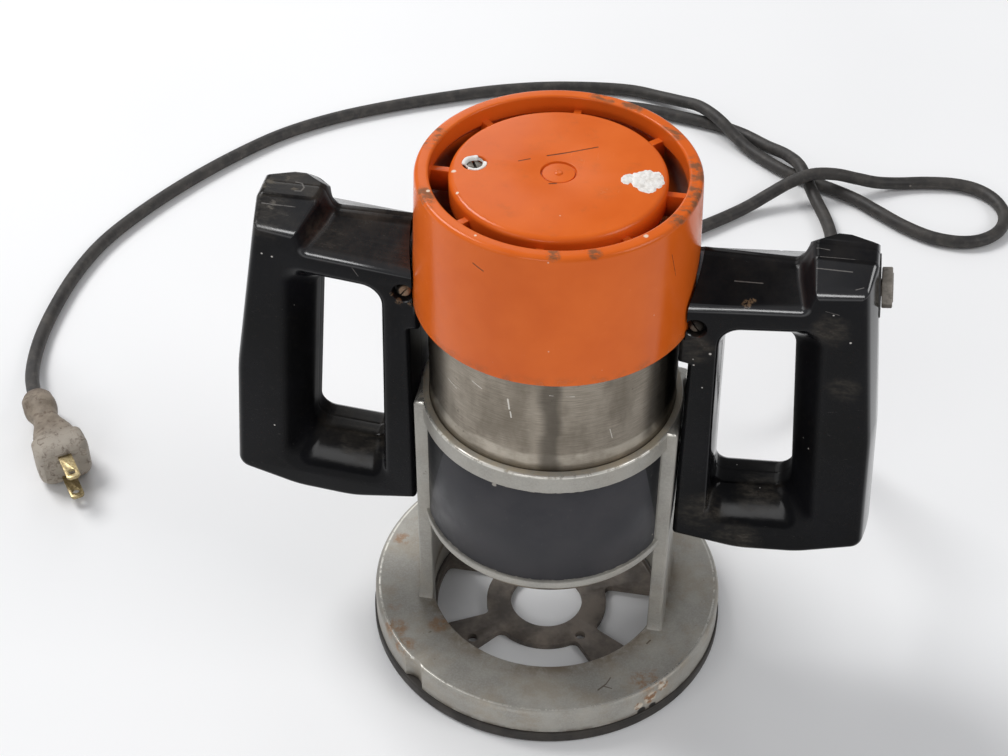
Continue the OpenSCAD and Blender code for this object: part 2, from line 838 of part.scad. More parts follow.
module brush_springs() {
    color([0.75, 0.75, 0.78])
        at_brushes()
            tube(spring_route(50), spring_wire_r, 6, [0.3, 0, 1], [0.3, 0, 1]);
}

// The top cap
function cap_r_at(z) = cap_r0 + (cap_r1 - cap_r0) * (z - cap_z0) / cap_h;
inner_r_top = cap_r1 - cap_wall - 0.4;
disc_t = 3;
vent_z = cap_top_z - 5.6;
rib_w = 3;
rib_depth = 9;

module top_cap() {
    color([0.85, 0.3, 0.1])
        difference() {
            union() {
                rotate_extrude()
                    polygon([
                        [cap_r0 - cap_wall, cap_z0], [cap_r0, cap_z0], [cap_r1, cap_top_z - 2.4],
                        [cap_r1 - 0.6, cap_top_z - 0.8], [cap_r1 - 1.8, cap_top_z],
                        [inlet_r + 0.9, cap_top_z], [inlet_r, cap_top_z - 1],
                        [inlet_r, cap_top_z - 7], [inlet_r + 1.4, cap_top_z - 9],
                        [inner_r_top, cap_top_z - 10]
                    ]);
                rotate_extrude()
                    polygon([
                        [6.8, disc_z - 1], [7.3, disc_z], [disc_r - 2.2, disc_z],
                        [disc_r - 0.7, disc_z - 0.7], [disc_r, disc_z - 2.4],
                        [disc_r, disc_z - 10], [disc_r - 2.4, disc_z - 10],
                        [disc_r - 2.4, disc_z - disc_t], [0, disc_z - disc_t], [0, disc_z - 1.2],
                        [5.6, disc_z - 1.2], [5.6, disc_z - 1.8], [6.8, disc_z - 1.8]
                    ]);
                for (i = [0:rib_count - 1])
                    rotate([0, 0, i * 360 / rib_count])
                        block(disc_r - 1, inlet_r + 1, -rib_w / 2, rib_w / 2, vent_z - rib_depth, vent_z);
                for (x = [-cap_screw_x, cap_screw_x])
                    translate([x, 0, post_top_z])
                        cylinder(r = 4.8, h = disc_z - disc_t - post_top_z + eps);
            }
            for (x = [-cap_screw_x, cap_screw_x])
                translate([x, 0, 0]) {
                    translate([0, 0, post_top_z - 1])
                        cylinder(r = 2.3, h = 20);
                    translate([0, 0, disc_z - 4.4])
                        cylinder(r = 4.4, h = 10);
                }
            for (a = [0, 180])
                rotate([0, 0, a]) {
                    block(can_r - 8, cap_r0 + 5, -lug_half_w - 0.4, lug_half_w + 0.4, cap_z0 - 1,
                        lug_z1 + 0.4);
                    block(can_r - 2, cap_r0 + 5, -14, 14, cap_z0 - 1, clamp_z + clamp_screw_r + 1);
                }
        }
}

module cap_screws() {
    color([0.6, 0.6, 0.6])
        for (x = [-cap_screw_x, cap_screw_x])
            translate([x, 0, 0])
                difference() {
                    rotate_extrude()
                        polygon([
                            [0, post_top_z - 14], [1.4, post_top_z - 14], [2, post_top_z - 13],
                            [2, disc_z - 4.4], [4, disc_z - 4.4], [4, disc_z - 3], [3.2, disc_z - 2.2],
                            [0, disc_z - 2]
                        ]);
                    block(-5, 5, -0.5, 0.5, disc_z - 3.2, disc_z);
                }
}

// The handles. A handle is drawn on the right and mirrored for the left. Each half is a loft from
// the parting plane to the face, hollow inside, with the finger window through it.
handle_wall = 3.2;
cavity_depth = handle_half_t - handle_wall;
corner_steps = 4;
screw_places = [[7, -101], [46, -101], [42, 16]];
relief_r = 6.2;
relief_neck_r = 5;
pocket_half_w = 6.6;
pocket_half_h = 10.6;
switch_half_w = 5.6;
switch_half_h = 9;
switch_depth = 15;

module handle_loft(part, face, way, spare) {
    loft([
        for (f = loft_y)
            let(y = max(0, f) * handle_half_t)
            let(at = y == 0 ? -spare : f > 1 ? y + spare : y)
            handle_ring(part, face, y, at, way, corner_steps)
    ]);
}

module face_plate(c, d, h) {
    translate([0, tiny, 0])
        rotate([90, 0, 0])
            linear_extrude(height = h + tiny)
                polygon([for (p = rounded(inset(c, d), 3)) [p.x + handle_x, p.y + cap_z0]]);
}

module handle_cavity(face) {
    difference() {
        face_plate(face, handle_wall, cavity_depth);
        face_plate(face_window, -handle_wall, cavity_depth + 1);
        block(handle_x - 10, handle_x + 13.6, -30, 10, cap_z0 - 94, cap_z0 + 40);
        for (s = screw_places)
            along_y(3.8, -30, 5, handle_x + s.x, cap_z0 + s.y);
        for (z = [-64, -34])
            block(handle_x + 50, handle_x + 80, -30, -9, cap_z0 + z, cap_z0 + z + 1.6);
        for (x = [20, 33])
            block(handle_x + x, handle_x + x + 1.6, -30, -7, cap_z0 - 115, cap_z0 - 95);
    }
}

module handle_half(part, face) {
    difference() {
        handle_loft(part, face, 1, 1);
        block(0, 200, 0, 10, 0, 300);
        block(0, 200, -handle_half_t - 10, -handle_half_t, 0, 300);
        handle_loft(parting_window, face_window, -1, 2);
        handle_cavity(face);
        cylinder(r = can_r + 1.2, h = cap_z0 - 0.7);
        cylinder(r = cap_r0 + 0.4, h = 400);
        block(handle_x - 20, handle_x + 8.1, -lug_half_w - 0.05, 1, lug_z0 - 0.1, lug_z1 + 0.2);
        along_y(clamp_screw_r + 0.2, -blind_end, 5, clamp_x, clamp_z);
        for (s = screw_places)
            along_y(clamp_screw_r + 0.2, -blind_end, 5, handle_x + s.x, cap_z0 + s.y);
    }
}

clamp_sink_r = 3.8;
screw_sink_r = 4.4;
screw_l = 2 * handle_half_t - 9;
blind_end = screw_l - handle_half_t + 3.8;

module handle_front(part, face) {
    difference() {
        handle_half(part, face);
        along_y(clamp_screw_r + 0.2, -handle_half_t, 0, clamp_x, clamp_z);
        along_y(clamp_sink_r, -handle_half_t - 5, -handle_half_t + 3, clamp_x, clamp_z);
    }
}

// The knob's back: two planes that slope down from its top to each side of a peak
module knob_back(peak_x) {
    translate([handle_x + peak_x, knob_peak.y, cap_z0 + 36.8]) {
        rotate([0, 0, 34.7])
            rotate([-44, 0, 0])
                block(-14, 30, -1, 30, 0, 30);
        rotate([0, 0, -20.3])
            rotate([-44, 0, 0])
                block(-30, 30, -1, 30, 0, 30);
    }
}

module handle_rear(part, face, peak_x) {
    difference() {
        mirror([0, 1, 0])
            handle_half(part, face);
        knob_back(peak_x);
        for (s = screw_places) {
            along_y(clamp_screw_r + 0.2, 0, handle_half_t, handle_x + s.x, cap_z0 + s.y);
            along_y(screw_sink_r, handle_half_t - 3, handle_half_t + 5, handle_x + s.x, cap_z0 + s.y);
        }
    }
}

module at_switch() {
    translate([button_x, 0, button_z])
        rotate([0, -grip_lean, 0])
            children();
}

module switch_room() {
    at_switch() {
        block(-1.5, 12, -pocket_half_w, pocket_half_w, -pocket_half_h, pocket_half_h);
        block(-switch_depth - 0.4, 5, -switch_half_w - 0.4, switch_half_w + 0.4,
            -switch_half_h - 0.4, switch_half_h + 0.4);
    }
}

left_parting = moved_corners(parting_outline, left_parting_shift);
left_face = moved_corners(face_outline, left_face_shift);

module left_handle_front() {
    color([0.05, 0.05, 0.05])
        mirror([1, 0, 0])
            handle_front(left_parting, left_face);
}

module left_handle_rear() {
    color([0.05, 0.05, 0.05])
        mirror([1, 0, 0])
            handle_rear(left_parting, left_face, knob_peak.x - left_peak_shift);
}

module right_handle_front() {
    color([0.05, 0.05, 0.05])
        difference() {
            handle_front(parting_outline, face_outline);
            switch_room();
        }
}

module right_handle_rear() {
    color([0.05, 0.05, 0.05])
        difference() {
            handle_rear(parting_outline, face_outline, knob_peak.x);
            switch_room();
            along_y(relief_neck_r + 0.1, 5, 25, relief_x, relief_z);
        }
}

module handle_screw(l, head_r) {
    rotate([90, 0, 0])
        difference() {
            rotate_extrude()
                polygon([
                    [0, -l], [clamp_screw_r - 0.7, -l], [clamp_screw_r, 1 - l], [clamp_screw_r, 0],
                    [head_r, 0], [head_r, 1.2], [head_r - 1, 2.2], [0, 2.5]
                ]);
            block(-5, 5, -0.5, 0.5, 1.2, 3);
        }
}

module handle_screws() {
    color([0.5, 0.5, 0.5])
        for (side = [0, 1])
            mirror([side, 0, 0]) {
                translate([clamp_x, -handle_half_t + 3, clamp_z])
                    handle_screw(screw_l, clamp_sink_r - 0.9);
                for (s = screw_places)
                    translate([handle_x + s.x, handle_half_t - 3, cap_z0 + s.y])
                        rotate([0, 0, 180])
                            handle_screw(screw_l, screw_sink_r - 0.4);
            }
}

// The switch in the right handle
bezel_t = 0.5;
button_rest_z = -7;
stem_half = 2.4;

module switch_body() {
    color([0.1, 0.1, 0.1])
        at_switch()
            difference() {
                union() {
                    block(-1.4, bezel_t, -pocket_half_w + 0.1, pocket_half_w - 0.1,
                        -pocket_half_h + 0.1, pocket_half_h - 0.1);
                    block(-switch_depth, -1.4 + eps, -switch_half_w, switch_half_w, -switch_half_h,
                        switch_half_h);
                }
                block(-4, bezel_t + 1, -stem_half - 0.35, stem_half + 0.35,
                    button_rest_z + button_h / 2 - stem_half - 0.35,
                    button_rest_z + button_h / 2 + stem_half + button_travel + 0.35);
            }
}

module switch_button() {
    color([0.75, 0.75, 0.73])
        at_switch()
            translate([0, 0, button_rest_z])
                union() {
                    difference() {
                        block(bezel_t + 0.3, button_out, -button_w / 2, button_w / 2, 0,
                            button_h);
                        for (z = [3:2.5:button_h - 3])
                            block(button_out - 0.6, button_out + 1, -button_w / 2 - 1,
                                button_w / 2 + 1, z - 0.5, z + 0.5);
                    }
                    block(-3.6, bezel_t + 0.4, -stem_half, stem_half, button_h / 2 - stem_half,
                        button_h / 2 + stem_half);
                }
}

lead_r = 1.3;
relief_in_y = cavity_depth - 3.2;
module motor_leads() {
    color([0.15, 0.15, 0.15]) {
        tube([
            [relief_x, relief_in_y - 0.05, relief_z], [relief_x, relief_in_y - 3, relief_z + 0.7],
            [relief_x - 0.2, relief_in_y - 5.4, relief_z + 3.2], [relief_x - 0.6, 5, relief_z + 9],
            [handle_x + 62, 3, cap_z0 - 62], [handle_x + 60, 2, cap_z0 - 32],
            [handle_x + 57.5, 2, cap_z0 - 9], [handle_x + 55.5, 2, cap_z0 + 9.9]
        ], lead_r, 8, [0, -1, 0], [0, 0, 1]);
    }
}

module strain_relief() {
    color([0.08, 0.08, 0.08])
        translate([relief_x, 0, relief_z])
            rotate([-90, 0, 0])
                difference() {
                    rotate_extrude()
                        polygon([
                            [0, relief_in_y], [relief_r, relief_in_y],
                            [relief_r, cavity_depth - 0.1], [relief_neck_r, cavity_depth - 0.1],
                            [relief_neck_r, handle_half_t], [relief_r, handle_half_t],
                            [relief_r, handle_half_t + 2.4], [5.4, handle_half_t + 3.2],
                            [cord_r + 0.5, exit_y], [0, exit_y]
                        ]);
                    for (i = [0:3])
                        for (side = [0, 180])
                            rotate([0, 0, side + (i % 2) * 90])
                                translate([cord_r + 0.4, -9, handle_half_t + 5 + i * 3.6])
                                    cube([5, 18, 1.5]);
                }
}

// The armature, fan and collet
nose_r = journal_r - 0.47;
nose_z1 = bearing_z - 0.6;
shoulder_r = journal_r + 1.5;
seat_r = 7;
comm_seat_r = 6;
collet_top_z = shaft_bottom_z + 21;

module armature_shaft() {
    color([0.8, 0.8, 0.82])
        rotate_extrude()
            polygon([
                [5.9, shaft_bottom_z], [nose_r - 0.6, shaft_bottom_z], [nose_r, shaft_bottom_z + 0.8],
                [nose_r, nose_z1], [journal_r, nose_z1], [journal_r, bearing_z + bearing_w],
                [shoulder_r, bearing_z + bearing_w], [shoulder_r, fan_z], [8, fan_z],
                [8, fan_z + fan_h + 3], [seat_r, fan_z + fan_h + 3], [seat_r, core_z + core_l + 11],
                [comm_seat_r, core_z + core_l + 11], [comm_seat_r, comm_z + comm_h + 1],
                [5, comm_z + comm_h + 1], [5, top_bearing_z], [top_journal_r, top_bearing_z],
                [top_journal_r, top_bearing_z + top_bearing_w + 1], [0, top_bearing_z + top_bearing_w + 1],
                [0, collet_top_z + 12], [shank_r + 0.2, collet_top_z + 10], [shank_r + 0.2, collet_top_z],
                [4.1, collet_top_z]
            ]);
}

slot_count = 12;
slot_at = 16;

module armature_core() {
    color([0.4, 0.4, 0.42])
        difference() {
            ring_solid(seat_r, core_r, core_z, core_z + core_l);
            for (i = [0:slot_count - 1])
                rotate([0, 0, (i + 0.5) * 360 / slot_count]) {
                    translate([slot_at, 0, core_z - 1])
                        cylinder(r = 2.8, h = core_l + 2, $fn = 32);
                    block(slot_at, core_r + 1, -0.9, 0.9, core_z - 1, core_z + core_l + 1);
                }
        }
}

module armature_windings() {
    color([0.6, 0.28, 0.1]) {
        rotate_extrude()
            polygon([
                [seat_r, core_z - 9], [12, core_z - 10], [17.5, core_z - 7], [19, core_z - 2],
                [18.6, core_z], [seat_r, core_z]
            ]);
        rotate_extrude()
            polygon([
                [seat_r, core_z + core_l], [18.6, core_z + core_l], [19, core_z + core_l + 3],
                [17, core_z + core_l + 8], [12.5, core_z + core_l + 11], [seat_r, core_z + core_l + 11]
            ]);
        for (i = [0:slot_count - 1])
            rotate([0, 0, (i + 0.5) * 360 / slot_count])
                translate([slot_at, 0, core_z - 1])
                    cylinder(r = 2.6, h = core_l + 2, $fn = 32);
    }
}

module commutator() {
    color([0.75, 0.45, 0.25])
        difference() {
            rotate_extrude()
                polygon([
                    [comm_seat_r, core_z + core_l + 11.2], [commutator_r - 1, core_z + core_l + 11.2],
                    [commutator_r + 1.4, comm_z - 2], [commutator_r + 1.4, comm_z], [commutator_r, comm_z],
                    [commutator_r, comm_z + comm_h], [comm_seat_r, comm_z + comm_h]
                ]);
            for (i = [0:23])
                rotate([0, 0, i * 15])
                    block(commutator_r - 1.2, commutator_r + 3, -0.3, 0.3, comm_z - 3, comm_z + comm_h + 1);
        }
}

function blade_point(r, bend, side) = [
    r * cos(bend * (r - 12) / 29) - side * sin(bend * (r - 12) / 29),
    r * sin(bend * (r - 12) / 29) + side * cos(bend * (r - 12) / 29)
];

module fan() {
    color([0.7, 0.71, 0.72])
        union() {
            rotate_extrude()
                polygon([
                    [8, fan_z], [fan_r, fan_z], [fan_r, fan_z + 1.6], [15, fan_z + 2.4],
                    [13, fan_z + 5], [13, fan_z + fan_h], [8, fan_z + fan_h]
                ]);
            intersection() {
                translate([0, 0, fan_z + 1])
                    for (i = [0:fan_blades - 1])
                        rotate([0, 0, i * 360 / fan_blades])
                            linear_extrude(height = fan_h - 1)
                                polygon(concat(
                                    [for (r = [12:4.8:fan_r + 4]) blade_point(r, -28, 0.7)],
                                    [for (r = [fan_r + 3.8:-4.8:11]) blade_point(r, -28, -0.7)]
                                ));
                ring_solid(12, fan_r, fan_z, fan_z + fan_h);
            }
        }
}

collet_r = 5.2;
module collet() {
    color([0.6, 0.6, 0.62])
        difference() {
            rotate_extrude()
                polygon([
                    [shank_r, shaft_bottom_z - 1.6], [collet_r, shaft_bottom_z - 1.6],
                    [collet_r + 0.6, shaft_bottom_z - 0.4], [collet_r + 0.6, shaft_bottom_z + 0.4],
                    [4, collet_top_z - 0.6], [shank_r, collet_top_z - 0.6]
                ]);
            for (a = [0:90:270])
                rotate([0, 0, a])
                    block(shank_r - 1, 8, -0.4, 0.4, shaft_bottom_z - 3, shaft_bottom_z + 15);
        }
}

nut_flat = 22;
thread_gap = 0.1;
nut_z0 = shaft_bottom_z - 2;
nut_h = 15;
module collet_nut() {
    color([0.55, 0.55, 0.57])
        difference() {
            intersection() {
                translate([0, 0, nut_z0])
                    cylinder(r = nut_flat / sqrt(3), h = nut_h, $fn = 6);
                rotate_extrude()
                    polygon([
                        [0, nut_z0], [nut_flat / 2 - 0.4, nut_z0], [nut_flat / 2 + 2, nut_z0 + 1.6],
                        [nut_flat / 2 + 2, nut_z0 + nut_h - 1.2],
                        [nut_flat / 2 + 0.2, nut_z0 + nut_h], [0, nut_z0 + nut_h]
                    ]);
            }
            rotate_extrude()
                polygon([
                    [0, nut_z0 - 1], [4.6, nut_z0 - 1], [4.6, nut_z0 + 0.1], [collet_r + 0.15, nut_z0 + 0.1],
                    [collet_r + 0.9, nut_z0 + 1.4], [collet_r + 0.9, nut_z0 + 1.7],
                    [nose_r + thread_gap, nut_z0 + 1.7],
                    [nose_r + thread_gap, nut_z0 + nut_h + 1], [0, nut_z0 + nut_h + 1]
                ]);
        }
}

// The cord and its plug
module cord() {
    color([0.1, 0.1, 0.1])
        tube(cord_route, cord_r, 10, [0, 1, 0], [cos(plug_turn), sin(plug_turn), 0]);
}

module at_plug() {
    translate(plug_at)
        rotate([0, 0, plug_turn])
            children();
}

function plug_ring(x, half_w, half_h, corner) = [
    for (p = rounded([
        [-half_w, -half_h, corner], [half_w, -half_h, corner], [half_w, half_h, corner],
        [-half_w, half_h, corner]
    ], 5))
        [x, p.x, p.y]
];

module plug_body() {
    color([0.6, 0.6, 0.58])
        at_plug()
            loft([
                plug_ring(0, 4.5, 4.5, 4.3), plug_ring(1.6, 6.3, 6.3, 5.6), plug_ring(4.4, 7.8, 7.6, 6.8),
                plug_ring(9, 8.3, 8, 7), plug_ring(14, 7.6, 7.4, 6.4), plug_ring(17, 6.6, 6.6, 5.6),
                plug_ring(20, 6.3, 6.3, 5.2), plug_ring(24, 7.2, 6.8, 5.2), plug_ring(31, 9.4, 8.4, 5.2),
                plug_ring(38, 10.6, 9.4, 5.2), plug_ring(40, 12.4, 10.6, 5), plug_ring(49, 12.8, 11, 5),
                plug_ring(53, 11.8, 10, 4.4), plug_ring(54.5, 10.4, 8.8, 3.6)
            ]);
}

blade_gap = 12.7;
module plug_blades() {
    color([0.75, 0.72, 0.6])
        at_plug()
            for (z = [-blade_gap / 2, blade_gap / 2])
                difference() {
                    block(54.5, 70.5, -3.2, 3.2, z - 0.75, z + 0.75);
                    translate([67, 0, z - 2])
                        cylinder(r = 1.6, h = 4, $fn = 32);
                }
}

sub_base();
sub_base_screws();
base_casting();
label_plate();
clamp_bolt();
wing_nut();
motor_can();
bearing_plate();
lower_bearing();
field_core();
field_coils();
fan_baffle();
end_housing();
upper_bearing();
brush_holders();
brushes();
brush_springs();
through_bolts();
top_cap();
cap_screws();
left_handle_front();
left_handle_rear();
right_handle_front();
right_handle_rear();
handle_screws();
switch_body();
switch_button();
motor_leads();
strain_relief();
armature_shaft();
armature_core();
armature_windings();
commutator();
fan();
collet();
collet_nut();
cord();
plug_body();
plug_blades();
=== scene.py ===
import bpy
import bmesh
import math
import random
from mathutils import Matrix, Vector, noise


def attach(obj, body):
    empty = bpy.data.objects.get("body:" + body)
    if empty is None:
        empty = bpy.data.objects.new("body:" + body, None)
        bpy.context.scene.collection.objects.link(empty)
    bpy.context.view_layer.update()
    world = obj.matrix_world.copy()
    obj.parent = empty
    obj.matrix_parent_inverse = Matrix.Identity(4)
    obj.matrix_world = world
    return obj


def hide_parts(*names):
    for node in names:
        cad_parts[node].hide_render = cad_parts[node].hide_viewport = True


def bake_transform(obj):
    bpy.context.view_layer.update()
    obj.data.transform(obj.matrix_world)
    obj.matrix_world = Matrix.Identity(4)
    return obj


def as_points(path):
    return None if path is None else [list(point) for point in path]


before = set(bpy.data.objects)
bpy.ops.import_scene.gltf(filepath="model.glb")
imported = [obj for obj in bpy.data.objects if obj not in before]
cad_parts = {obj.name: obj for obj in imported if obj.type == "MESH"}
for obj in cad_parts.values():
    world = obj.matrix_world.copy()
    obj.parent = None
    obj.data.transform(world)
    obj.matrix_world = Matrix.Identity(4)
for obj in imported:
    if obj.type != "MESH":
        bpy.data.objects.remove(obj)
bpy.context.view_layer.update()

MM = 0.001


def mm(*v):
    """A point or a length in millimetres, as metres."""
    return Vector([x * MM for x in v]) if len(v) > 1 else v[0] * MM


# Camera: the photograph's own viewpoint, fitted to the round edges of the base, collar and cap.
CAMERA_AT = mm(77.857, -539.668, 627.795)
LOOKS_ALONG = Vector((-0.131987, 0.730099, -0.670474))
CAMERA_RIGHT = Vector((0.983444, 0.181177, 0.003692))
CAMERA_UP = Vector((-0.124170, 0.658886, 0.741924))
FOCAL_MM = 65.946
SENSOR_MM = 36.0


def place_camera():
    data = bpy.data.cameras.new("photo_camera")
    data.lens = FOCAL_MM
    data.sensor_width = SENSOR_MM
    data.sensor_fit = "HORIZONTAL"
    data.clip_start = 0.01
    data.clip_end = 20
    camera = bpy.data.objects.new("photo_camera", data)
    bpy.context.scene.collection.objects.link(camera)
    turn = Matrix((CAMERA_RIGHT, CAMERA_UP, -LOOKS_ALONG)).transposed()
    camera.matrix_world = Matrix.Translation(CAMERA_AT) @ turn.to_4x4()
    bpy.context.scene.camera = camera
    return camera


place_camera()

# The cord's route, the same points as in the part's source, in millimetres.
RELIEF_AT = (118.48, 40.5, 92.2)
CORD_ROUTE = [
    RELIEF_AT, (118.5, 58, 91), (118, 70, 86), (116.5, 83, 76), (114.5, 94, 63), (112.5, 104, 48),
    (111, 114, 32), (110, 126, 17), (109.5, 141, 7.5), (109.5, 158, 3.8), (110, 180, 3.6),
    (111, 205, 3.6), (112, 230, 3.6), (112.5, 252, 3.6), (112.5, 271, 3.6), (111, 289, 3.6),
    (107, 304, 3.7), (101.3, 317, 5.2), (95.3, 329, 8.9), (89.7, 341, 11.2), (81.5, 354, 8.6),
    (70, 366, 4.8), (54, 378, 3.6), (37, 384.5, 3.6), (16, 389, 3.6), (-10, 393, 3.6),
    (-34, 390, 3.6), (-54, 374, 3.6), (-65, 347, 3.6), (-66, 316, 3.6), (-56, 286, 3.6),
    (-36, 265, 3.6), (-8, 257, 3.6), (20, 266, 3.6), (42, 285, 3.6), (58, 300.5, 3.7),
    (66, 307.5, 5.2), (75, 314.5, 8.6), (85, 321, 12.8), (97, 327, 15.9), (110, 331.8, 14.4),
    (122, 335.6, 10.4), (134, 339.5, 6.4), (147, 344.5, 4), (162, 348.5, 3.6), (178.5, 350, 3.6),
    (189.9, 347.5, 3.6), (199.2, 340.4, 3.6), (204.6, 330, 3.6), (205.1, 318.3, 3.6),
    (200.6, 307.5, 3.6), (192, 299.6, 3.6), (180.9, 296.1, 3.6), (166, 297.5, 3.6),
    (150.5, 305, 3.6), (136, 315.5, 3.6), (124, 324.5, 3.6), (112, 331, 3.6), (103, 335, 3.6),
    (95, 338.2, 3.6), (88.5, 341.2, 3.6), (80, 346, 3.6), (70, 353.5, 3.6), (59.5, 362.3, 4.2),
    (50.5, 370, 6.8), (42, 377.4, 10.4), (34, 385, 11.4), (26, 392.4, 10.4), (16, 400, 7),
    (2, 407.2, 4.2), (-17, 411.5, 3.6), (-59, 407, 3.6), (-94, 397, 3.6), (-128, 382, 3.6),
    (-157, 367, 3.6), (-186, 349, 3.6), (-212, 327, 3.6), (-233, 301, 3.6), (-253, 270, 3.6),
    (-270, 237, 3.6), (-281, 208, 3.6), (-286, 180, 3.6), (-287, 151, 3.6), (-285.5, 127, 3.7),
    (-281.5, 107, 4.8), (-275.5, 90.5, 8), (-268, 76, 11.2),
]
PLUG_AT = (-268, 76, 11.2)
PLUG_TURN = math.radians(-53.1)


# ---------- mesh helpers ----------

def catmull(points, spacing):
    """Points along one smooth curve through the route, about spacing apart."""
    p = [Vector(q) for q in points]
    p = [p[0] * 2 - p[1]] + p + [p[-1] * 2 - p[-2]]
    out = []
    for i in range(1, len(p) - 2):
        a, b, c, d = p[i - 1], p[i], p[i + 1], p[i + 2]
        t0 = 0.0
        t1 = t0 + (b - a).length ** 0.5
        t2 = t1 + (c - b).length ** 0.5
        t3 = t2 + (d - c).length ** 0.5
        n = max(1, round((c - b).length / spacing))
        for k in range(n):
            t = t1 + (t2 - t1) * k / n
            a1 = a * ((t1 - t) / (t1 - t0)) + b * ((t - t0) / (t1 - t0))
            a2 = b * ((t2 - t) / (t2 - t1)) + c * ((t - t1) / (t2 - t1))
            a3 = c * ((t3 - t) / (t3 - t2)) + d * ((t - t2) / (t3 - t2))
            b1 = a1 * ((t2 - t) / (t2 - t0)) + a2 * ((t - t0) / (t2 - t0))
            b2 = a2 * ((t3 - t) / (t3 - t1)) + a3 * ((t - t1) / (t3 - t1))
            out.append(b1 * ((t2 - t) / (t2 - t1)) + b2 * ((t - t1) / (t2 - t1)))
    out.append(p[-2])
    return out


def turned(corner_list, steps):
    """A closed outline of (x, y, radius) corners, with its corners rounded."""
    out = []
    n = len(corner_list)
    for i in range(n):
        a, b, c = (Vector(corner_list[(i + k) % n][:2]) for k in (-1, 0, 1))
        r = corner_list[i][2]
        u, v = (b - a).normalized(), (c - b).normalized()
        turn = math.atan2(u.x * v.y - u.y * v.x, u.dot(v))
        if abs(turn) < 1e-4 or r <= 0:
            out += [b.copy() for _ in range(steps + 1)]
            continue
        s = -1 if turn < 0 else 1
        start = b - u * r * math.tan(abs(turn) / 2)
        mid = start + Vector((-u.y, u.x)) * s * r
        e = start - mid
        for k in range(steps + 1):
            w = turn * k / steps
            out.append(mid + Vector((e.x * math.cos(w) - e.y * math.sin(w), e.x * math.sin(w) + e.y * math.cos(w))))
    return out


def moved_in(corner_list, d):
    """The outline with every side moved inwards by d."""
    out = []
    n = len(corner_list)
    for i in range(n):
        a, b, c = (Vector(corner_list[(i + k) % n][:2]) for k in (-1, 0, 1))
        u, v = (b - a).normalized(), (c - b).normalized()
        k = d / (1 + u.dot(v))
        s = -1 if u.x * v.y - u.y * v.x < 0 else 1
        out.append((b.x - (u.y + v.y) * k, b.y + (u.x + v.x) * k, max(0.12, corner_list[i][2] - s * d)))
    return out


def mesh_of(name, verts, faces, scale=MM):
    mesh = bpy.data.meshes.new(name)
    mesh.from_pydata([Vector(v) * scale for v in verts], [], faces)
    mesh.validate()
    mesh.update()
    obj = bpy.data.objects.new(name, mesh)
    bpy.context.scene.collection.objects.link(obj)
    return obj


def outwards(obj):
    """Doubles merged and normals recalculated, so that faces point outwards."""
    bm = bmesh.new()
    bm.from_mesh(obj.data)
    bmesh.ops.remove_doubles(bm, verts=bm.verts, dist=1e-6)
    bmesh.ops.recalc_face_normals(bm, faces=bm.faces)
    bm.to_mesh(obj.data)
    bm.free()
    obj.data.update()
    return obj


def revolve(name, outline, steps=144, start=0.0, end=360.0):
    """A closed (radius, height) outline turned about Z, whole or in part."""
    whole = abs(end - start) > 359.9
    rings = steps if whole else steps + 1
    n = len(outline)
    verts = []
    for j in range(rings):
        a = math.radians(start + (end - start) * j / steps)
        verts += [(r * math.cos(a), r * math.sin(a), z) for r, z in outline]
    faces = []
    for j in range(steps):
        for i in range(n):
            a, b = j * n, ((j + 1) % rings) * n
            faces.append((a + i, a + (i + 1) % n, b + (i + 1) % n, b + i))
    if not whole:
        faces.append(tuple(range(n)))
        faces.append(tuple(range((rings - 1) * n, rings * n)))
    return outwards(mesh_of(name, verts, faces))


def loft(name, rings, capped=True, scale=MM):
    n = len(rings[0])
    verts = [p for ring in rings for p in ring]
    faces = []
    for j in range(len(rings) - 1):
        for i in range(n):
            a, b = j * n, (j + 1) * n
            faces.append((a + i, a + (i + 1) % n, b + (i + 1) % n, b + i))
    if capped:
        faces.append(tuple(range(n)))
        faces.append(tuple(range((len(rings) - 1) * n, len(rings) * n)))
    return outwards(mesh_of(name, verts, faces, scale))


def tube(name, path, radius, sides=20, first=None, last=None, scale=MM):
    """A round tube along a path. radius is a number or a function of the share of the path."""
    p = [Vector(q) for q in path]
    rings = []
    side = None
    for i, c in enumerate(p):
        t = p[min(i + 1, len(p) - 1)] - p[max(i - 1, 0)]
        if i == 0 and first:
            t = Vector(first)
        if i == len(p) - 1 and last:
            t = Vector(last)
        t.normalize()
        if side is None:
            side = t.orthogonal().normalized()
        side = (side - t * side.dot(t)).normalized()
        up = t.cross(side)
        r = radius(i / (len(p) - 1)) if callable(radius) else radius
        rings.append([c + (side * math.cos(2 * math.pi * k / sides) + up * math.sin(2 * math.pi * k / sides)) * r
                      for k in range(sides)])
    return loft(name, rings, scale=scale)


def prism(name, outline, low, high, to_point):
    """An outline pushed from low to high; to_point(u, v, h) gives its place."""
    n = len(outline)
    verts = [to_point(u, v, low) for u, v in outline] + [to_point(u, v, high) for u, v in outline]
    faces = [tuple(range(n)), tuple(range(n, 2 * n))]
    faces += [(i, (i + 1) % n, n + (i + 1) % n, n + i) for i in range(n)]
    return outwards(mesh_of(name, verts, faces))


def joined(name, pieces):
    """Several closed shells as one piece."""
    bm = bmesh.new()
    for p in pieces:
        bm.from_mesh(p.data)
        bpy.data.objects.remove(p)
    mesh = bpy.data.meshes.new(name)
    bm.to_mesh(mesh)
    bm.free()
    obj = bpy.data.objects.new(name, mesh)
    bpy.context.scene.collection.objects.link(obj)
    return obj


def applied(obj):
    """The piece with its modifiers applied."""
    bpy.context.view_layer.update()
    seen = obj.evaluated_get(bpy.context.evaluated_depsgraph_get())
    mesh = bpy.data.meshes.new_from_object(seen)
    obj.modifiers.clear()
    obj.data = mesh
    return obj


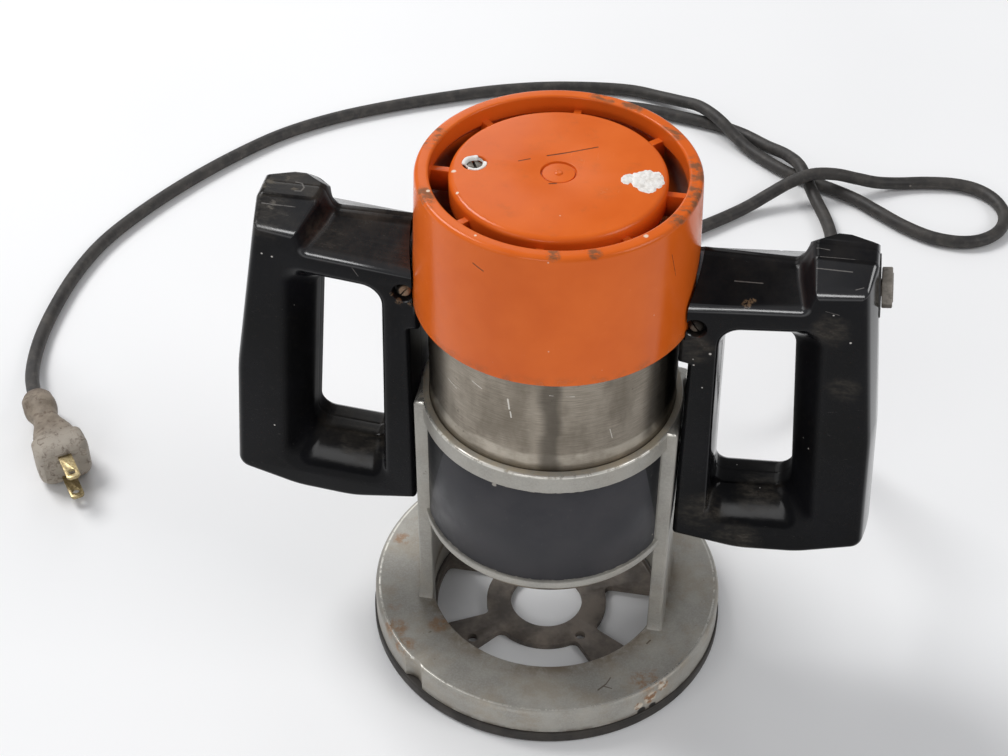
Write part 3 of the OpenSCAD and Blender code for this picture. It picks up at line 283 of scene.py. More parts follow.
def cut(obj, *tools):
    for tool in tools:
        m = obj.modifiers.new("cut", "BOOLEAN")
        m.operation = "DIFFERENCE"
        m.solver = "EXACT"
        m.object = tool
    applied(obj)
    for tool in tools:
        bpy.data.objects.remove(tool)
    return obj


def eased(obj, width, segments=2, angle=30):
    """Edges broken by a small bevel, as a moulded or cast piece has them."""
    m = obj.modifiers.new("edge", "BEVEL")
    m.width = width * MM
    m.segments = segments
    m.limit_method = "ANGLE"
    m.angle_limit = math.radians(angle)
    m.harden_normals = False
    return applied(obj)


def smooth(obj, angle=38):
    obj.data.shade_smooth()
    obj.data.set_sharp_from_angle(angle=math.radians(angle))
    return obj


def drum(name, r, z0, z1, steps=128, x=0.0, y=0.0):
    """A plain cutter: a cylinder along Z."""
    rings = [[(x + r * math.cos(2 * math.pi * k / steps), y + r * math.sin(2 * math.pi * k / steps), z)
              for k in range(steps)] for z in (z0, z1)]
    return loft(name, rings)


def drum_y(name, r, y0, y1, x, z, steps=48):
    rings = [[(x + r * math.cos(2 * math.pi * k / steps), y, z + r * math.sin(2 * math.pi * k / steps))
              for k in range(steps)] for y in (y0, y1)]
    return loft(name, rings)


def drum_x(name, r, x0, x1, y, z, steps=48):
    rings = [[(x, y + r * math.cos(2 * math.pi * k / steps), z + r * math.sin(2 * math.pi * k / steps))
              for k in range(steps)] for x in (x0, x1)]
    return loft(name, rings)


def dress(obj, finish, body, slot, *nodes, angle=38):
    """Finish, body and the nodes that the piece stands for. The slot is not used."""
    smooth(obj, angle)
    obj.data.materials.clear()
    obj.data.materials.append(FINISHES[finish])
    if body:
        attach(obj, body)
    if nodes:
        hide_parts(*nodes)
    return obj


# ---------- repeated shapes ----------

def spread_tree(name, finish):
    """Copies of one shape turned about Z: ribs, screws and blades."""
    tree = bpy.data.node_groups.new(name, "GeometryNodeTree")
    face = tree.interface
    face.new_socket("Geometry", in_out="INPUT", socket_type="NodeSocketGeometry")
    count = face.new_socket("Count", in_out="INPUT", socket_type="NodeSocketInt")
    first = face.new_socket("First angle", in_out="INPUT", socket_type="NodeSocketFloat")
    face.new_socket("Geometry", in_out="OUTPUT", socket_type="NodeSocketGeometry")
    count.default_value = 8
    first.default_value = 0.0
    new = tree.nodes.new
    link = tree.links.new
    given = new("NodeGroupInput")
    result = new("NodeGroupOutput")
    points = new("GeometryNodePoints")
    index = new("GeometryNodeInputIndex")
    share = new("ShaderNodeMath")
    share.operation = "DIVIDE"
    angle = new("ShaderNodeMath")
    angle.operation = "MULTIPLY_ADD"
    angle.inputs[1].default_value = 2 * math.pi
    turn = new("ShaderNodeCombineXYZ")
    place = new("GeometryNodeInstanceOnPoints")
    real = new("GeometryNodeRealizeInstances")
    paint = new("GeometryNodeSetMaterial")
    paint.inputs["Material"].default_value = FINISHES[finish]
    link(given.outputs["Count"], points.inputs["Count"])
    link(index.outputs[0], share.inputs[0])
    link(given.outputs["Count"], share.inputs[1])
    link(share.outputs[0], angle.inputs[0])
    link(given.outputs["First angle"], angle.inputs[2])
    link(angle.outputs[0], turn.inputs["Z"])
    link(points.outputs[0], place.inputs["Points"])
    link(given.outputs["Geometry"], place.inputs["Instance"])
    link(turn.outputs[0], place.inputs["Rotation"])
    link(place.outputs[0], real.inputs[0])
    link(real.outputs[0], paint.inputs["Geometry"])
    link(paint.outputs[0], result.inputs[0])
    return tree


def row_tree(name, finish):
    """Copies of one shape in a straight row: grip ridges and grooves."""
    tree = bpy.data.node_groups.new(name, "GeometryNodeTree")
    face = tree.interface
    face.new_socket("Geometry", in_out="INPUT", socket_type="NodeSocketGeometry")
    face.new_socket("Count", in_out="INPUT", socket_type="NodeSocketInt")
    face.new_socket("Step", in_out="INPUT", socket_type="NodeSocketVector")
    face.new_socket("Geometry", in_out="OUTPUT", socket_type="NodeSocketGeometry")
    new = tree.nodes.new
    link = tree.links.new
    given = new("NodeGroupInput")
    result = new("NodeGroupOutput")
    line = new("GeometryNodeMeshLine")
    place = new("GeometryNodeInstanceOnPoints")
    real = new("GeometryNodeRealizeInstances")
    paint = new("GeometryNodeSetMaterial")
    paint.inputs["Material"].default_value = FINISHES[finish]
    link(given.outputs["Count"], line.inputs["Count"])
    link(given.outputs["Step"], line.inputs["Offset"])
    link(line.outputs[0], place.inputs["Points"])
    link(given.outputs["Geometry"], place.inputs["Instance"])
    link(place.outputs[0], real.inputs[0])
    link(real.outputs[0], paint.inputs["Geometry"])
    link(paint.outputs[0], result.inputs[0])
    return tree


def repeated(obj, tree, **values):
    m = obj.modifiers.new("repeat", "NODES")
    m.node_group = tree
    for item in tree.interface.items_tree:
        if item.item_type == "SOCKET" and item.in_out == "INPUT" and item.name in values:
            m[item.identifier] = values[item.name]
    return applied(obj)


# ---------- finishes ----------

FINISHES = {}


def linear(r, g, b):
    """A colour as a screen shows it, 0 to 255, as the light that Blender works with."""
    return tuple((c / 255 / 12.92 if c <= 10 else ((c / 255 + 0.055) / 1.055) ** 2.4) for c in (r, g, b)) + (1.0,)


class Finish:
    """One procedural finish, laid node by node in the object's own coordinates."""

    def __init__(self, name, metallic=0.0, specular=0.5, coat=0.0, coat_rough=0.1):
        self.material = bpy.data.materials.new(name)
        self.material.use_nodes = True
        self.tree = self.material.node_tree
        self.shader = self.tree.nodes["Principled BSDF"]
        self.shader.inputs["Metallic"].default_value = metallic
        self.shader.inputs["Specular IOR Level"].default_value = specular
        self.shader.inputs["Coat Weight"].default_value = coat
        self.shader.inputs["Coat Roughness"].default_value = coat_rough
        self.place = self.tree.nodes.new("ShaderNodeTexCoord").outputs["Object"]
        self.axes = None
        FINISHES[name] = self.material

    def put(self, socket, value):
        if isinstance(value, bpy.types.NodeSocket):
            self.tree.links.new(value, socket)
        else:
            socket.default_value = value

    def math(self, operation, a, b=0.0, c=0.0):
        n = self.tree.nodes.new("ShaderNodeMath")
        n.operation = operation
        for socket, value in zip(n.inputs, (a, b, c)):
            self.put(socket, value)
        return n.outputs[0]

    def axis(self, letter):
        if self.axes is None:
            self.axes = self.tree.nodes.new("ShaderNodeSeparateXYZ")
            self.tree.links.new(self.place, self.axes.inputs[0])
        return self.axes.outputs[letter]

    def radius(self):
        x, y = self.axis("X"), self.axis("Y")
        return self.math("SQRT", self.math("ADD", self.math("MULTIPLY", x, x), self.math("MULTIPLY", y, y)))

    def angle(self):
        return self.math("ARCTAN2", self.axis("Y"), self.axis("X"))

    def stretched(self, scale, shift=(0, 0, 0), turn=(0, 0, 0)):
        n = self.tree.nodes.new("ShaderNodeMapping")
        self.tree.links.new(self.place, n.inputs["Vector"])
        n.inputs["Scale"].default_value = scale
        n.inputs["Location"].default_value = shift
        n.inputs["Rotation"].default_value = turn
        return n.outputs[0]

    def round_grain(self, along, around, out=1.0):
        """Coordinates that run round the Z axis, for turned and brushed surfaces."""
        n = self.tree.nodes.new("ShaderNodeCombineXYZ")
        self.put(n.inputs["X"], self.math("MULTIPLY", self.math("COSINE", self.angle()), around))
        self.put(n.inputs["Y"], self.math("MULTIPLY", self.math("SINE", self.angle()), around))
        self.put(n.inputs["Z"], self.math("MULTIPLY", self.axis("Z"), along))
        return n.outputs[0]

    def noise(self, scale, detail=4.0, rough=0.55, at=None, distort=0.0):
        n = self.tree.nodes.new("ShaderNodeTexNoise")
        self.tree.links.new(at or self.place, n.inputs["Vector"])
        n.inputs["Scale"].default_value = scale
        n.inputs["Detail"].default_value = detail
        n.inputs["Roughness"].default_value = rough
        n.inputs["Distortion"].default_value = distort
        return n.outputs[0]

    def cells(self, scale, at=None, feature="F1", spread=1.0):
        n = self.tree.nodes.new("ShaderNodeTexVoronoi")
        n.feature = feature
        self.tree.links.new(at or self.place, n.inputs["Vector"])
        n.inputs["Scale"].default_value = scale
        n.inputs["Randomness"].default_value = spread
        return n.outputs["Distance"]

    def between(self, value, low, high, to_low=0.0, to_high=1.0):
        n = self.tree.nodes.new("ShaderNodeMapRange")
        n.interpolation_type = "SMOOTHSTEP"
        for name, v in (("Value", value), ("From Min", low), ("From Max", high), ("To Min", to_low),
                        ("To Max", to_high)):
            self.put(n.inputs[name], v)
        return n.outputs[0]

    def times(self, a, b):
        return self.math("MULTIPLY", a, b)

    def either(self, a, b):
        return self.math("MAXIMUM", a, b)

    def spot(self, x, y, z, size, soft=0.35, ragged=0.0, grain=400.0):
        """A mark round one point, with a ragged edge."""
        n = self.tree.nodes.new("ShaderNodeVectorMath")
        n.operation = "DISTANCE"
        self.tree.links.new(self.place, n.inputs[0])
        n.inputs[1].default_value = (x * MM, y * MM, z * MM)
        d = n.outputs["Value"]
        if ragged:
            d = self.math("MULTIPLY_ADD", self.math("SUBTRACT", self.noise(grain, 4), 0.5), ragged * MM, d)
        return self.between(d, size * MM, size * (1 - soft) * MM)

    def scratch(self, a, b, width, ragged=0.25):
        """A fine line from a to b, in millimetres."""
        p, q = Vector(a) * MM, Vector(b) * MM
        d = q - p
        vec = self.tree.nodes.new
        off = vec("ShaderNodeVectorMath")
        off.operation = "SUBTRACT"
        self.tree.links.new(self.place, off.inputs[0])
        off.inputs[1].default_value = p
        along = vec("ShaderNodeVectorMath")
        along.operation = "DOT_PRODUCT"
        self.tree.links.new(off.outputs[0], along.inputs[0])
        along.inputs[1].default_value = d / d.length_squared
        t = self.math("MINIMUM", self.math("MAXIMUM", along.outputs["Value"], 0.0), 1.0)
        back = vec("ShaderNodeVectorMath")
        back.operation = "SCALE"
        back.inputs[0].default_value = d
        self.tree.links.new(t, back.inputs["Scale"])
        gap = vec("ShaderNodeVectorMath")
        gap.operation = "DISTANCE"
        self.tree.links.new(off.outputs[0], gap.inputs[0])
        self.tree.links.new(back.outputs[0], gap.inputs[1])
        far = self.math("MULTIPLY_ADD", self.math("SUBTRACT", self.noise(900, 3), 0.5), ragged * MM,
                        gap.outputs["Value"])
        return self.between(far, width * MM, width * 0.4 * MM)

    def lines(self, ends):
        """Several scratches as one mask: both ends and the half width, in millimetres."""
        last = None
        for a, b, width in ends:
            s = self.scratch(a, b, width)
            last = s if last is None else self.either(last, s)
        return last

    def marks_at(self, places):
        """Several marks as one mask: place, size, softness and raggedness, in millimetres."""
        last = None
        for place in places:
            s = self.spot(*place)
            last = s if last is None else self.either(last, s)
        return last

    def mix(self, share, a, b):
        n = self.tree.nodes.new("ShaderNodeMix")
        n.data_type = "RGBA"
        self.put(n.inputs["Factor"], share)
        self.put(n.inputs[6], a)
        self.put(n.inputs[7], b)
        return n.outputs[2]

    def blend(self, share, a, b):
        n = self.tree.nodes.new("ShaderNodeMix")
        self.put(n.inputs["Factor"], share)
        self.put(n.inputs[2], a)
        self.put(n.inputs[3], b)
        return n.outputs[0]

    def colour(self, value):
        self.put(self.shader.inputs["Base Color"], value)

    def roughness(self, value):
        self.put(self.shader.inputs["Roughness"], value)

    def metal(self, value):
        self.put(self.shader.inputs["Metallic"], value)

    def bump(self, *layers):
        """Layers of (height socket, depth in millimetres), laid one on another."""
        last = None
        for height, depth in layers:
            n = self.tree.nodes.new("ShaderNodeBump")
            n.inputs["Strength"].default_value = 1.0
            n.inputs["Distance"].default_value = depth * MM
            self.tree.links.new(height, n.inputs["Height"])
            if last:
                self.tree.links.new(last, n.inputs["Normal"])
            last = n.outputs[0]
        self.tree.links.new(last, self.shader.inputs["Normal"])


def orange_cap_plastic():
    """Glossy orange moulding, with grime on the rim's flat, painted shade deep inside the inlet, dark scuffs and flecks
    of paint.
    """
    f = Finish("orange_cap_plastic", specular=0.22)
    cloud = f.noise(38, 3)
    base = f.mix(f.between(cloud, 0.3, 0.7), linear(217, 98, 29), linear(225, 106, 35))
    smear = f.between(f.noise(1, 6, 0.72, at=f.stretched((150, 260, 200))), 0.42, 0.60)
    flat = f.times(f.between(f.axis("Z"), 0.2350, 0.2366), f.between(f.radius(), 0.0465, 0.0485))
    rim = f.times(f.times(flat, smear), f.marks_at(RIM_GRIME))
    disc = f.times(f.between(f.radius(), 0.0400, 0.0390), f.between(f.noise(90, 5, 0.7), 0.52, 0.8, 0, 0.22))
    low = f.times(f.between(f.axis("Z"), 0.186, 0.181), f.between(f.noise(200, 4), 0.4, 0.7, 0, 0.40))
    grime = f.either(f.either(rim, disc), low)
    base = f.mix(f.times(grime, 0.85), base, linear(112, 80, 54))
    # Painted shade: the inside of the cap below the inlet's lip is darkened to a deep brown-orange.
    well = f.times(f.between(f.axis("Z"), 0.2285, 0.2215), f.between(f.radius(), 0.0505, 0.0495))
    base = f.mix(f.times(well, 0.8), base, linear(66, 34, 18))
    marks = f.lines(SCUFFS)
    base = f.mix(f.times(marks, 0.85), base, linear(66, 38, 26))
    dots = f.times(f.between(f.cells(150), 0.060, 0.030), f.between(f.noise(60, 2), 0.58, 0.62))
    flecks = f.either(f.times(dots, 0.6), f.marks_at(PAINT_FLECKS))
    base = f.mix(flecks, base, linear(234, 212, 190))
    f.colour(base)
    hair = f.between(f.noise(1, 4, 0.6, at=f.stretched((1500, 110, 420), turn=(0.3, 0.2, 0.5))), 0.62, 0.74)
    rough = f.between(cloud, 0.3, 0.7, 0.15, 0.24)
    f.roughness(f.math("ADD", f.math("MULTIPLY_ADD", grime, 0.35, rough), f.times(hair, 0.08)))
    f.bump((f.noise(420, 3), 0.012), (marks, -0.10), (f.noise(2600, 2), 0.004))


# What is seen on the cap. Grime and flecks: place, size, softness and raggedness in millimetres.
RIM_GRIME = [
    (-48.8, 12, 237, 10, 0.5, 5), (-43, -25, 237, 8, 0.5, 5), (49, 9, 237, 10, 0.5, 5), (50, -7, 237, 9, 0.5, 5),
    (46, -19, 237, 8, 0.5, 5), (10, 49, 237, 7, 0.5, 4), (21, 45, 237, 6, 0.5, 4), (38, 31, 237, 7, 0.5, 4),
    (6, -49.5, 237, 3.2, 0.4, 3), (20, -46, 237, 3, 0.4, 3)]
PAINT_FLECKS = [
    (-37.3, -6.4, 235.4, 1.1, 0.4, 0.8), (-33.5, -19, 235.6, 0.7, 0.4, 0.6), (-43.5, -21.8, 237, 0.9, 0.4, 0.8),
    (36, -33.5, 237, 1.2, 0.5, 1.6), (-49.5, -17.5, 234, 0.6, 0.4, 0.6), (-22, -44, 237, 0.7, 0.4, 0.8)]
SCUFFS = [
    ((-5.6, 9.3, 235.8), (0.7, 12.2, 235.8), 0.5), ((0.7, 12.2, 235.8), (11.7, 18.1, 235.8), 0.38),
    ((-15.4, 4.1, 235.8), (-11.6, 6.2, 235.8), 0.34), ((-2.1, -7.6, 235.8), (0.2, -7.0, 235.8), 0.45),
    ((-22.2, -47.9, 228), (-18.3, -49.5, 226.4), 0.34), ((45, -27.7, 226), (46.7, -25.4, 215), 0.16),
    ((14, -52.6, 222), (16, -52.6, 214), 0.2), ((-38, -38, 214), (-36, -40.5, 204), 0.22)]


def brushed_can():
    """Turned aluminium gone brown-grey: fine rings, dull patches, a paler ring where the collar has rubbed, and a
    painted dark reflection down the front.
    """
    f = Finish("brushed_can", metallic=1.0)
    grain = f.noise(1, 5, 0.6, at=f.round_grain(5200, 7))
    fine = f.noise(1, 3, 0.5, at=f.round_grain(16000, 26))
    wide = f.noise(1, 4, 0.6, at=f.stretched((60, 60, 26)))
    base = f.mix(f.between(grain, 0.3, 0.7), linear(134, 126, 114), linear(168, 159, 146))
    base = f.mix(f.between(wide, 0.40, 0.70, 0, 0.6), base, linear(104, 96, 84))
    height = f.math("MULTIPLY_ADD", f.math("SUBTRACT", f.noise(60, 3), 0.5), 0.006, f.axis("Z"))
    band = f.times(f.between(height, 0.1345, 0.1360), f.between(height, 0.1415, 0.1400))
    worn = f.times(band, f.between(f.noise(90, 4, 0.6), 0.35, 0.65, 0.25, 0.8))
    base = f.mix(f.times(worn, 0.75), base, linear(202, 194, 180))
    # Painted reflection: a darker vertical band down the front of the can, with a wavy edge.
    turn = f.math("MULTIPLY_ADD", f.math("SUBTRACT", f.noise(70, 3), 0.5), 0.10, f.angle())
    dark_reflection_band = f.times(f.between(turn, -1.56, -1.46), f.between(turn, -1.33, -1.40))
    base = f.mix(f.times(dark_reflection_band, 0.72), base, linear(78, 73, 66))
    spots = f.times(f.between(f.noise(330, 5, 0.7), 0.60, 0.70), f.between(f.noise(50, 3), 0.50, 0.66))
    base = f.mix(f.times(spots, 0.55), base, linear(66, 56, 46))
    marks = f.lines(CAN_SCRATCHES)
    base = f.mix(f.times(marks, 0.8), base, linear(226, 222, 214))
    f.colour(base)
    f.roughness(f.math("ADD", f.math("MULTIPLY_ADD", f.between(wide, 0.35, 0.7), 0.12, 0.30),
                       f.math("MULTIPLY_ADD", spots, 0.25, f.times(worn, -0.04))))
    f.bump((grain, 0.008), (fine, 0.004), (spots, -0.012))
    round_it = f.tree.nodes.new("ShaderNodeTangent")
    round_it.direction_type = "RADIAL"
    round_it.axis = "Z"
    f.tree.links.new(round_it.outputs[0], f.shader.inputs["Tangent"])
    f.shader.inputs["Anisotropic"].default_value = 0.7
    f.shader.inputs["Anisotropic Rotation"].default_value = 0.25


CAN_SCRATCHES = [
    ((-9.6, -48.1, 166), (-9.0, -48.2, 161.4), 0.45), ((-8.6, -48.3, 160), (-8.2, -48.3, 157.4), 0.4),
    ((-24, -42.7, 168), (-20, -44.7, 166.6), 0.22), ((6, -48.6, 171), (15, -46.7, 170.2), 0.18),
    ((-35, -34.3, 160), (-31, -37.9, 158.8), 0.2), ((28, -40.2, 150), (29, -39.5, 145), 0.2)]


def cast_grey_paint():
    """Silver-grey paint on the casting: pebbly, tan dirt on its flats, metal bare along the edges and round a chip, a
    painted highlight along those edges, and painted shade for a notch low on the ring.
    """
    f = Finish("cast_grey_paint", specular=0.4)
    soft = f.noise(55, 4, 0.6)
    base = f.mix(f.between(soft, 0.3, 0.7), linear(152, 149, 142), linear(172, 169, 161))
    base = f.mix(f.between(f.noise(1400, 2), 0.35, 0.75, 0, 0.30), base, linear(192, 189, 182))
    flat = f.times(f.between(f.axis("Z"), 0.0165, 0.0178), f.between(f.axis("Z"), 0.0215, 0.0190))
    dust = f.between(f.noise(60, 5, 0.65), 0.42, 0.66, 0, 0.42)
    base = f.mix(f.times(dust, f.between(f.axis("Z"), 0.060, 0.010, 0.25, 1.0)), base, linear(152, 136, 112))
    bore = f.times(f.times(flat, f.between(f.radius(), 0.0610, 0.0505)), f.between(f.noise(110, 5, 0.7), 0.36, 0.62, 0.1, 0.8))
    base = f.mix(bore, base, linear(114, 99, 80))
    stain = f.times(f.marks_at(RING_STAINS), f.between(f.noise(260, 6, 0.75), 0.38, 0.60))
    base = f.mix(f.times(stain, 0.75), base, linear(150, 112, 76))
    rust = f.times(f.between(f.noise(210, 6, 0.75), 0.64, 0.70), f.between(f.noise(34, 3), 0.52, 0.62))
    rust = f.either(rust, f.lines(RING_CRACKS))
    base = f.mix(f.times(rust, 0.75), base, linear(84, 66, 50))
    low_dirt = f.times(f.between(f.axis("Z"), 0.0085, 0.0056), f.between(f.noise(170, 4), 0.35, 0.6))
    base = f.mix(f.times(low_dirt, 0.7), base, linear(86, 76, 62))
    lip_top = f.between(f.axis("Z"), 0.1313, 0.1321)
    base = f.mix(f.times(lip_top, f.between(f.noise(200, 4), 0.3, 0.6, 0.2, 0.8)), base, linear(184, 172, 150))
    chip = f.times(f.marks_at(RING_CHIPS), f.between(f.noise(520, 5, 0.7), 0.34, 0.46))
    base = f.mix(f.times(chip, 0.9), base, f.mix(f.between(f.noise(330, 3), 0.42, 0.60), linear(222, 210, 192), linear(150, 106, 66)))
    # Painted shade: two near-black spots low on the ring's outer wall stand for a notch that is not modelled.
    notch = f.marks_at(RING_NOTCH_SHADE)
    base = f.mix(notch, base, linear(36, 32, 28))
    # Pale broken lines along the ring's top outer edge and the lip's top edge: partly paint worn to the metal, partly
    # painted highlight.
    broken = f.between(f.noise(1, 5, 0.7, at=f.stretched((170, 170, 60))), 0.40, 0.50)
    ring_edge = f.times(f.times(f.between(f.radius(), 0.0729, 0.0732), f.between(f.radius(), 0.0740, 0.0737)),
                        f.between(f.axis("Z"), 0.0160, 0.0168))
    lip_edge = f.times(f.between(f.radius(), 0.0515, 0.0518), f.between(f.axis("Z"), 0.1309, 0.1314))
    edge_wear_and_highlight = f.times(f.either(ring_edge, lip_edge), broken)
    base = f.mix(f.times(edge_wear_and_highlight, 0.9), base, linear(224, 221, 212))
    f.colour(base)
    f.metal(f.math("MULTIPLY_ADD", edge_wear_and_highlight, 0.5, 0.25))
    f.roughness(f.math("MULTIPLY_ADD", edge_wear_and_highlight, -0.12, f.between(soft, 0.3, 0.7, 0.38, 0.50)))
    f.bump((f.noise(650, 3), 0.030), (f.noise(140, 3), 0.050), (rust, -0.05), (chip, -0.12))


RING_STAINS = [
    (-59, -41, 18, 7, 0.6, 5), (-53, -50, 18, 6, 0.6, 5), (-41, -36, 18, 6, 0.6, 4), (-62, -30, 14, 6, 0.6, 4),
    (50, -50, 18, 8, 0.6, 6), (-68, 10, 18, 5, 0.6, 4)]
RING_CRACKS = [
    ((31.2, -58.4, 18.1), (34, -54.7, 18.1), 0.45), ((34, -54.7, 18.1), (35.4, -51.1, 18.1), 0.35),
    ((33, -56, 18.1), (36.6, -56.6, 18.1), 0.35), ((48, -30, 18.1), (49.2, -28, 18.1), 0.5)]
RING_CHIPS = [(52.5, -53.6, 12.5, 4.2, 0.4, 3.4), (57.5, -48.8, 15, 3.4, 0.4, 3.0), (48.4, -57.5, 10.6, 2.6, 0.4, 2.4)]
RING_NOTCH_SHADE = [(49.6, -56.9, 6.6, 2.6, 0.3, 2.0), (53.8, -53, 6.4, 2.2, 0.3, 2.0)]


def bare_label_foil():
    """The bare label plate: a charcoal panel with slanting ends, near-black beyond them as painted shade of the gaps
    beside the pillars, satin, rubbed along its edges.
    """
    f = Finish("bare_label_foil", specular=0.22)
    soft = f.noise(60, 4)
    panel = f.mix(f.between(soft, 0.3, 0.7), linear(50, 50, 54), linear(60, 59, 62))
    left = f.math("ADD", f.math("MULTIPLY_ADD", f.axis("Z"), -6.859, 3.2147), f.angle())
    right = f.math("SUBTRACT", f.math("MULTIPLY_ADD", f.axis("Z"), -5.061, -0.0035), f.angle())
    within = f.times(f.between(left, 0.0, 0.010), f.between(right, 0.0, 0.010))
    # Painted shade: beyond the slanting ends the plate is near-black, standing for the dark gaps between the collar and
    # the pillars.
    base = f.mix(within, linear(22, 22, 24), panel)
    rubs = f.between(f.noise(1, 4, 0.6, at=f.round_grain(420, 30)), 0.62, 0.76)
    base = f.mix(f.times(rubs, 0.22), base, linear(92, 88, 84))
    ends = f.either(f.between(f.axis("Z"), 0.0734, 0.0730), f.between(f.axis("Z"), 0.1223, 0.1227))
    worn = f.either(f.times(ends, f.between(f.noise(300, 4), 0.48, 0.62)),
                    f.marks_at([(45.9, -23, 78, 0.5, 0.4, 0.4), (-14.5, -49.3, 121.8, 1.2, 0.4, 1.2)]))
    base = f.mix(f.times(worn, 0.8), base, linear(188, 182, 172))
    f.colour(base)
    f.roughness(f.between(f.noise(120, 4), 0.3, 0.7, 0.34, 0.46))
    f.bump((f.noise(300, 3), 0.012))


def black_handle_plastic():
    """Black phenolic handles: glossy from hands, dusty on what faces up, with pale scratches and flecks; specular
    raised by facing on rounded upper edges and outer sides as painted highlight, lowered on inner faces as painted
    shade.
    """
    f = Finish("black_handle_plastic")
    soft = f.noise(34, 4, 0.6)
    base = f.mix(f.between(soft, 0.3, 0.7), linear(10, 10, 11), linear(16, 16, 19))
    facing = f.tree.nodes.new("ShaderNodeSeparateXYZ")
    f.tree.links.new(f.tree.nodes.new("ShaderNodeNewGeometry").outputs["Normal"], facing.inputs[0])
    up = f.between(facing.outputs["Z"], 0.40, 0.95)
    outward = f.times(facing.outputs["X"], f.math("SIGN", f.axis("X")))
    inner = f.between(outward, -0.25, -0.60)
    # Rounded upper edges, found by how they face, for painted highlight.
    rounded = f.times(f.times(f.between(facing.outputs["Z"], 0.08, 0.30), f.between(facing.outputs["Z"], 0.88, 0.76)),
                      f.between(f.axis("Z"), 0.150, 0.175))
    cloud = f.between(f.noise(70, 6, 0.66), 0.30, 0.80)
    dust = f.times(f.times(up, cloud), f.between(f.axis("X"), -0.02, 0.02, 0.26, 0.07))
    streaks = f.noise(1, 6, 0.7, at=f.stretched((140, 420, 300), turn=(0.2, 0.1, 0.5)))
    film = f.either(f.between(f.noise(420, 5, 0.7), 0.50, 0.80, 0, 0.03),
                    f.times(f.marks_at(HANDLE_DUST), f.between(streaks, 0.34, 0.72, 0.03, 0.26)))
    film = f.either(film, f.times(f.marks_at(KNOB_SCUFFS), f.between(streaks, 0.46, 0.62, 0.0, 0.62)))
    dust = f.either(dust, film)
    base = f.mix(dust, base, linear(112, 104, 92))
    hair = f.times(f.between(f.noise(1, 4, 0.7, at=f.stretched((240, 1700, 900), turn=(0.4, 0.7, 0.2))), 0.66, 0.72),
                   f.between(f.noise(40, 3), 0.50, 0.60))
    marks = f.either(f.times(hair, 0.4), f.lines(HANDLE_SCRATCHES))
    base = f.mix(f.times(marks, 0.55), base, linear(132, 128, 124))
    tan = f.times(f.marks_at(HANDLE_DIRT), f.between(f.noise(820, 5, 0.75), 0.44, 0.54))
    base = f.mix(f.times(tan, 0.85), base, linear(126, 102, 76))
    flecks = f.either(f.times(f.between(f.cells(190), 0.07, 0.04), f.between(f.noise(55, 3), 0.62, 0.66)),
                      f.marks_at(HANDLE_FLECKS))
    base = f.mix(f.times(flecks, 0.85), base, linear(206, 202, 196))
    f.colour(base)
    f.roughness(f.math("ADD", f.math("MULTIPLY_ADD", f.either(dust, f.times(inner, 0.5)), 0.7, f.between(soft, 0.3, 0.7, 0.10, 0.17)),
                       f.times(f.either(marks, f.either(tan, flecks)), 0.3)))
    # Painted highlight and shade: specular raised on the rounded edges and outer sides, lowered on faces turned towards
    # the motor.
    painted_highlight_specular = f.math("MAXIMUM", f.math("MULTIPLY_ADD", rounded, 0.85, 0.12), f.between(outward, 0.5, 0.8, 0.12, 0.40))
    f.put(f.shader.inputs["Specular IOR Level"], f.times(painted_highlight_specular, f.math("MULTIPLY_ADD", inner, -0.8, 1.0)))
    f.bump((f.noise(240, 3), 0.018), (tan, 0.12), (f.noise(1800, 2), 0.004))


# What is seen on the handles, in millimetres.
HANDLE_DUST = [
    (-109, -13, 213, 14, 0.6, 6), (-104, 3, 217, 12, 0.6, 6), (-85, -11, 203, 12, 0.7, 5), (65, -18.5, 90, 13, 0.6, 6),
    (80, -18.5, 76, 12, 0.6, 6), (104, -18.5, 192, 9, 0.6, 5), (112, -18.5, 165, 8, 0.7, 5), (56, -18.5, 176, 9, 0.6, 5),
    (-78, -9, 96, 14, 0.6, 6), (86, -9, 96, 12, 0.6, 6)]
HANDLE_SCRATCHES = [
    ((95.9, -10.7, 214), (108.5, -11, 214.4), 0.28), ((95.1, -2.5, 216.8), (99.8, -3.1, 217), 0.25), ((96.5, -7.5, 217), (106.4, -7.1, 217), 0.18),
    ((106.4, -7.1, 217), (116.4, -6.5, 216.6), 0.15),
    ((110.4, -16.3, 210.7), (113.1, -15.6, 211.5), 0.22), ((67.4, -9.5, 202.9), (77.6, -9.5, 203.3), 0.28),
    ((-74.4, -18.5, 195), (-72.2, -18.5, 191.4), 0.2), ((-109.7, -10.9, 214.7), (-97, -10.7, 214.5), 0.25),
    ((-99.7, 1.2, 217), (-97.3, 0.8, 217), 0.4), ((-97.3, 0.8, 217), (-95.8, -1.6, 217), 0.4),
    ((-95.8, -1.6, 217), (-96.4, -4, 217), 0.4), ((-96.4, -4, 217), (-98.6, -4.2, 217), 0.4),
    ((80, -9.5, 203.4), (85, -9.6, 203.3), 0.14), ((101, -18.5, 201), (106, -18.5, 200), 0.14)]
HANDLE_DIRT = [
    (72.6, -16.4, 198.5, 2.0, 0.6, 2.4), (74.6, -15.3, 199.5, 1.4, 0.6, 2.4), (-56.9, -18.4, 181.4, 1.8, 0.6, 2.2),
    (-52.4, -18.4, 181, 1.5, 0.6, 2.0), (-59.5, -18.4, 184.6, 1.0, 0.6, 1.8)]
KNOB_SCUFFS = [(-105, 3, 217, 3.6, 0.6, 4), (-110, -1.5, 216.6, 4.5, 0.6, 5), (-106, -11, 214.5, 3.0, 0.7, 4), (-99, -2, 217, 3, 0.7, 4)]
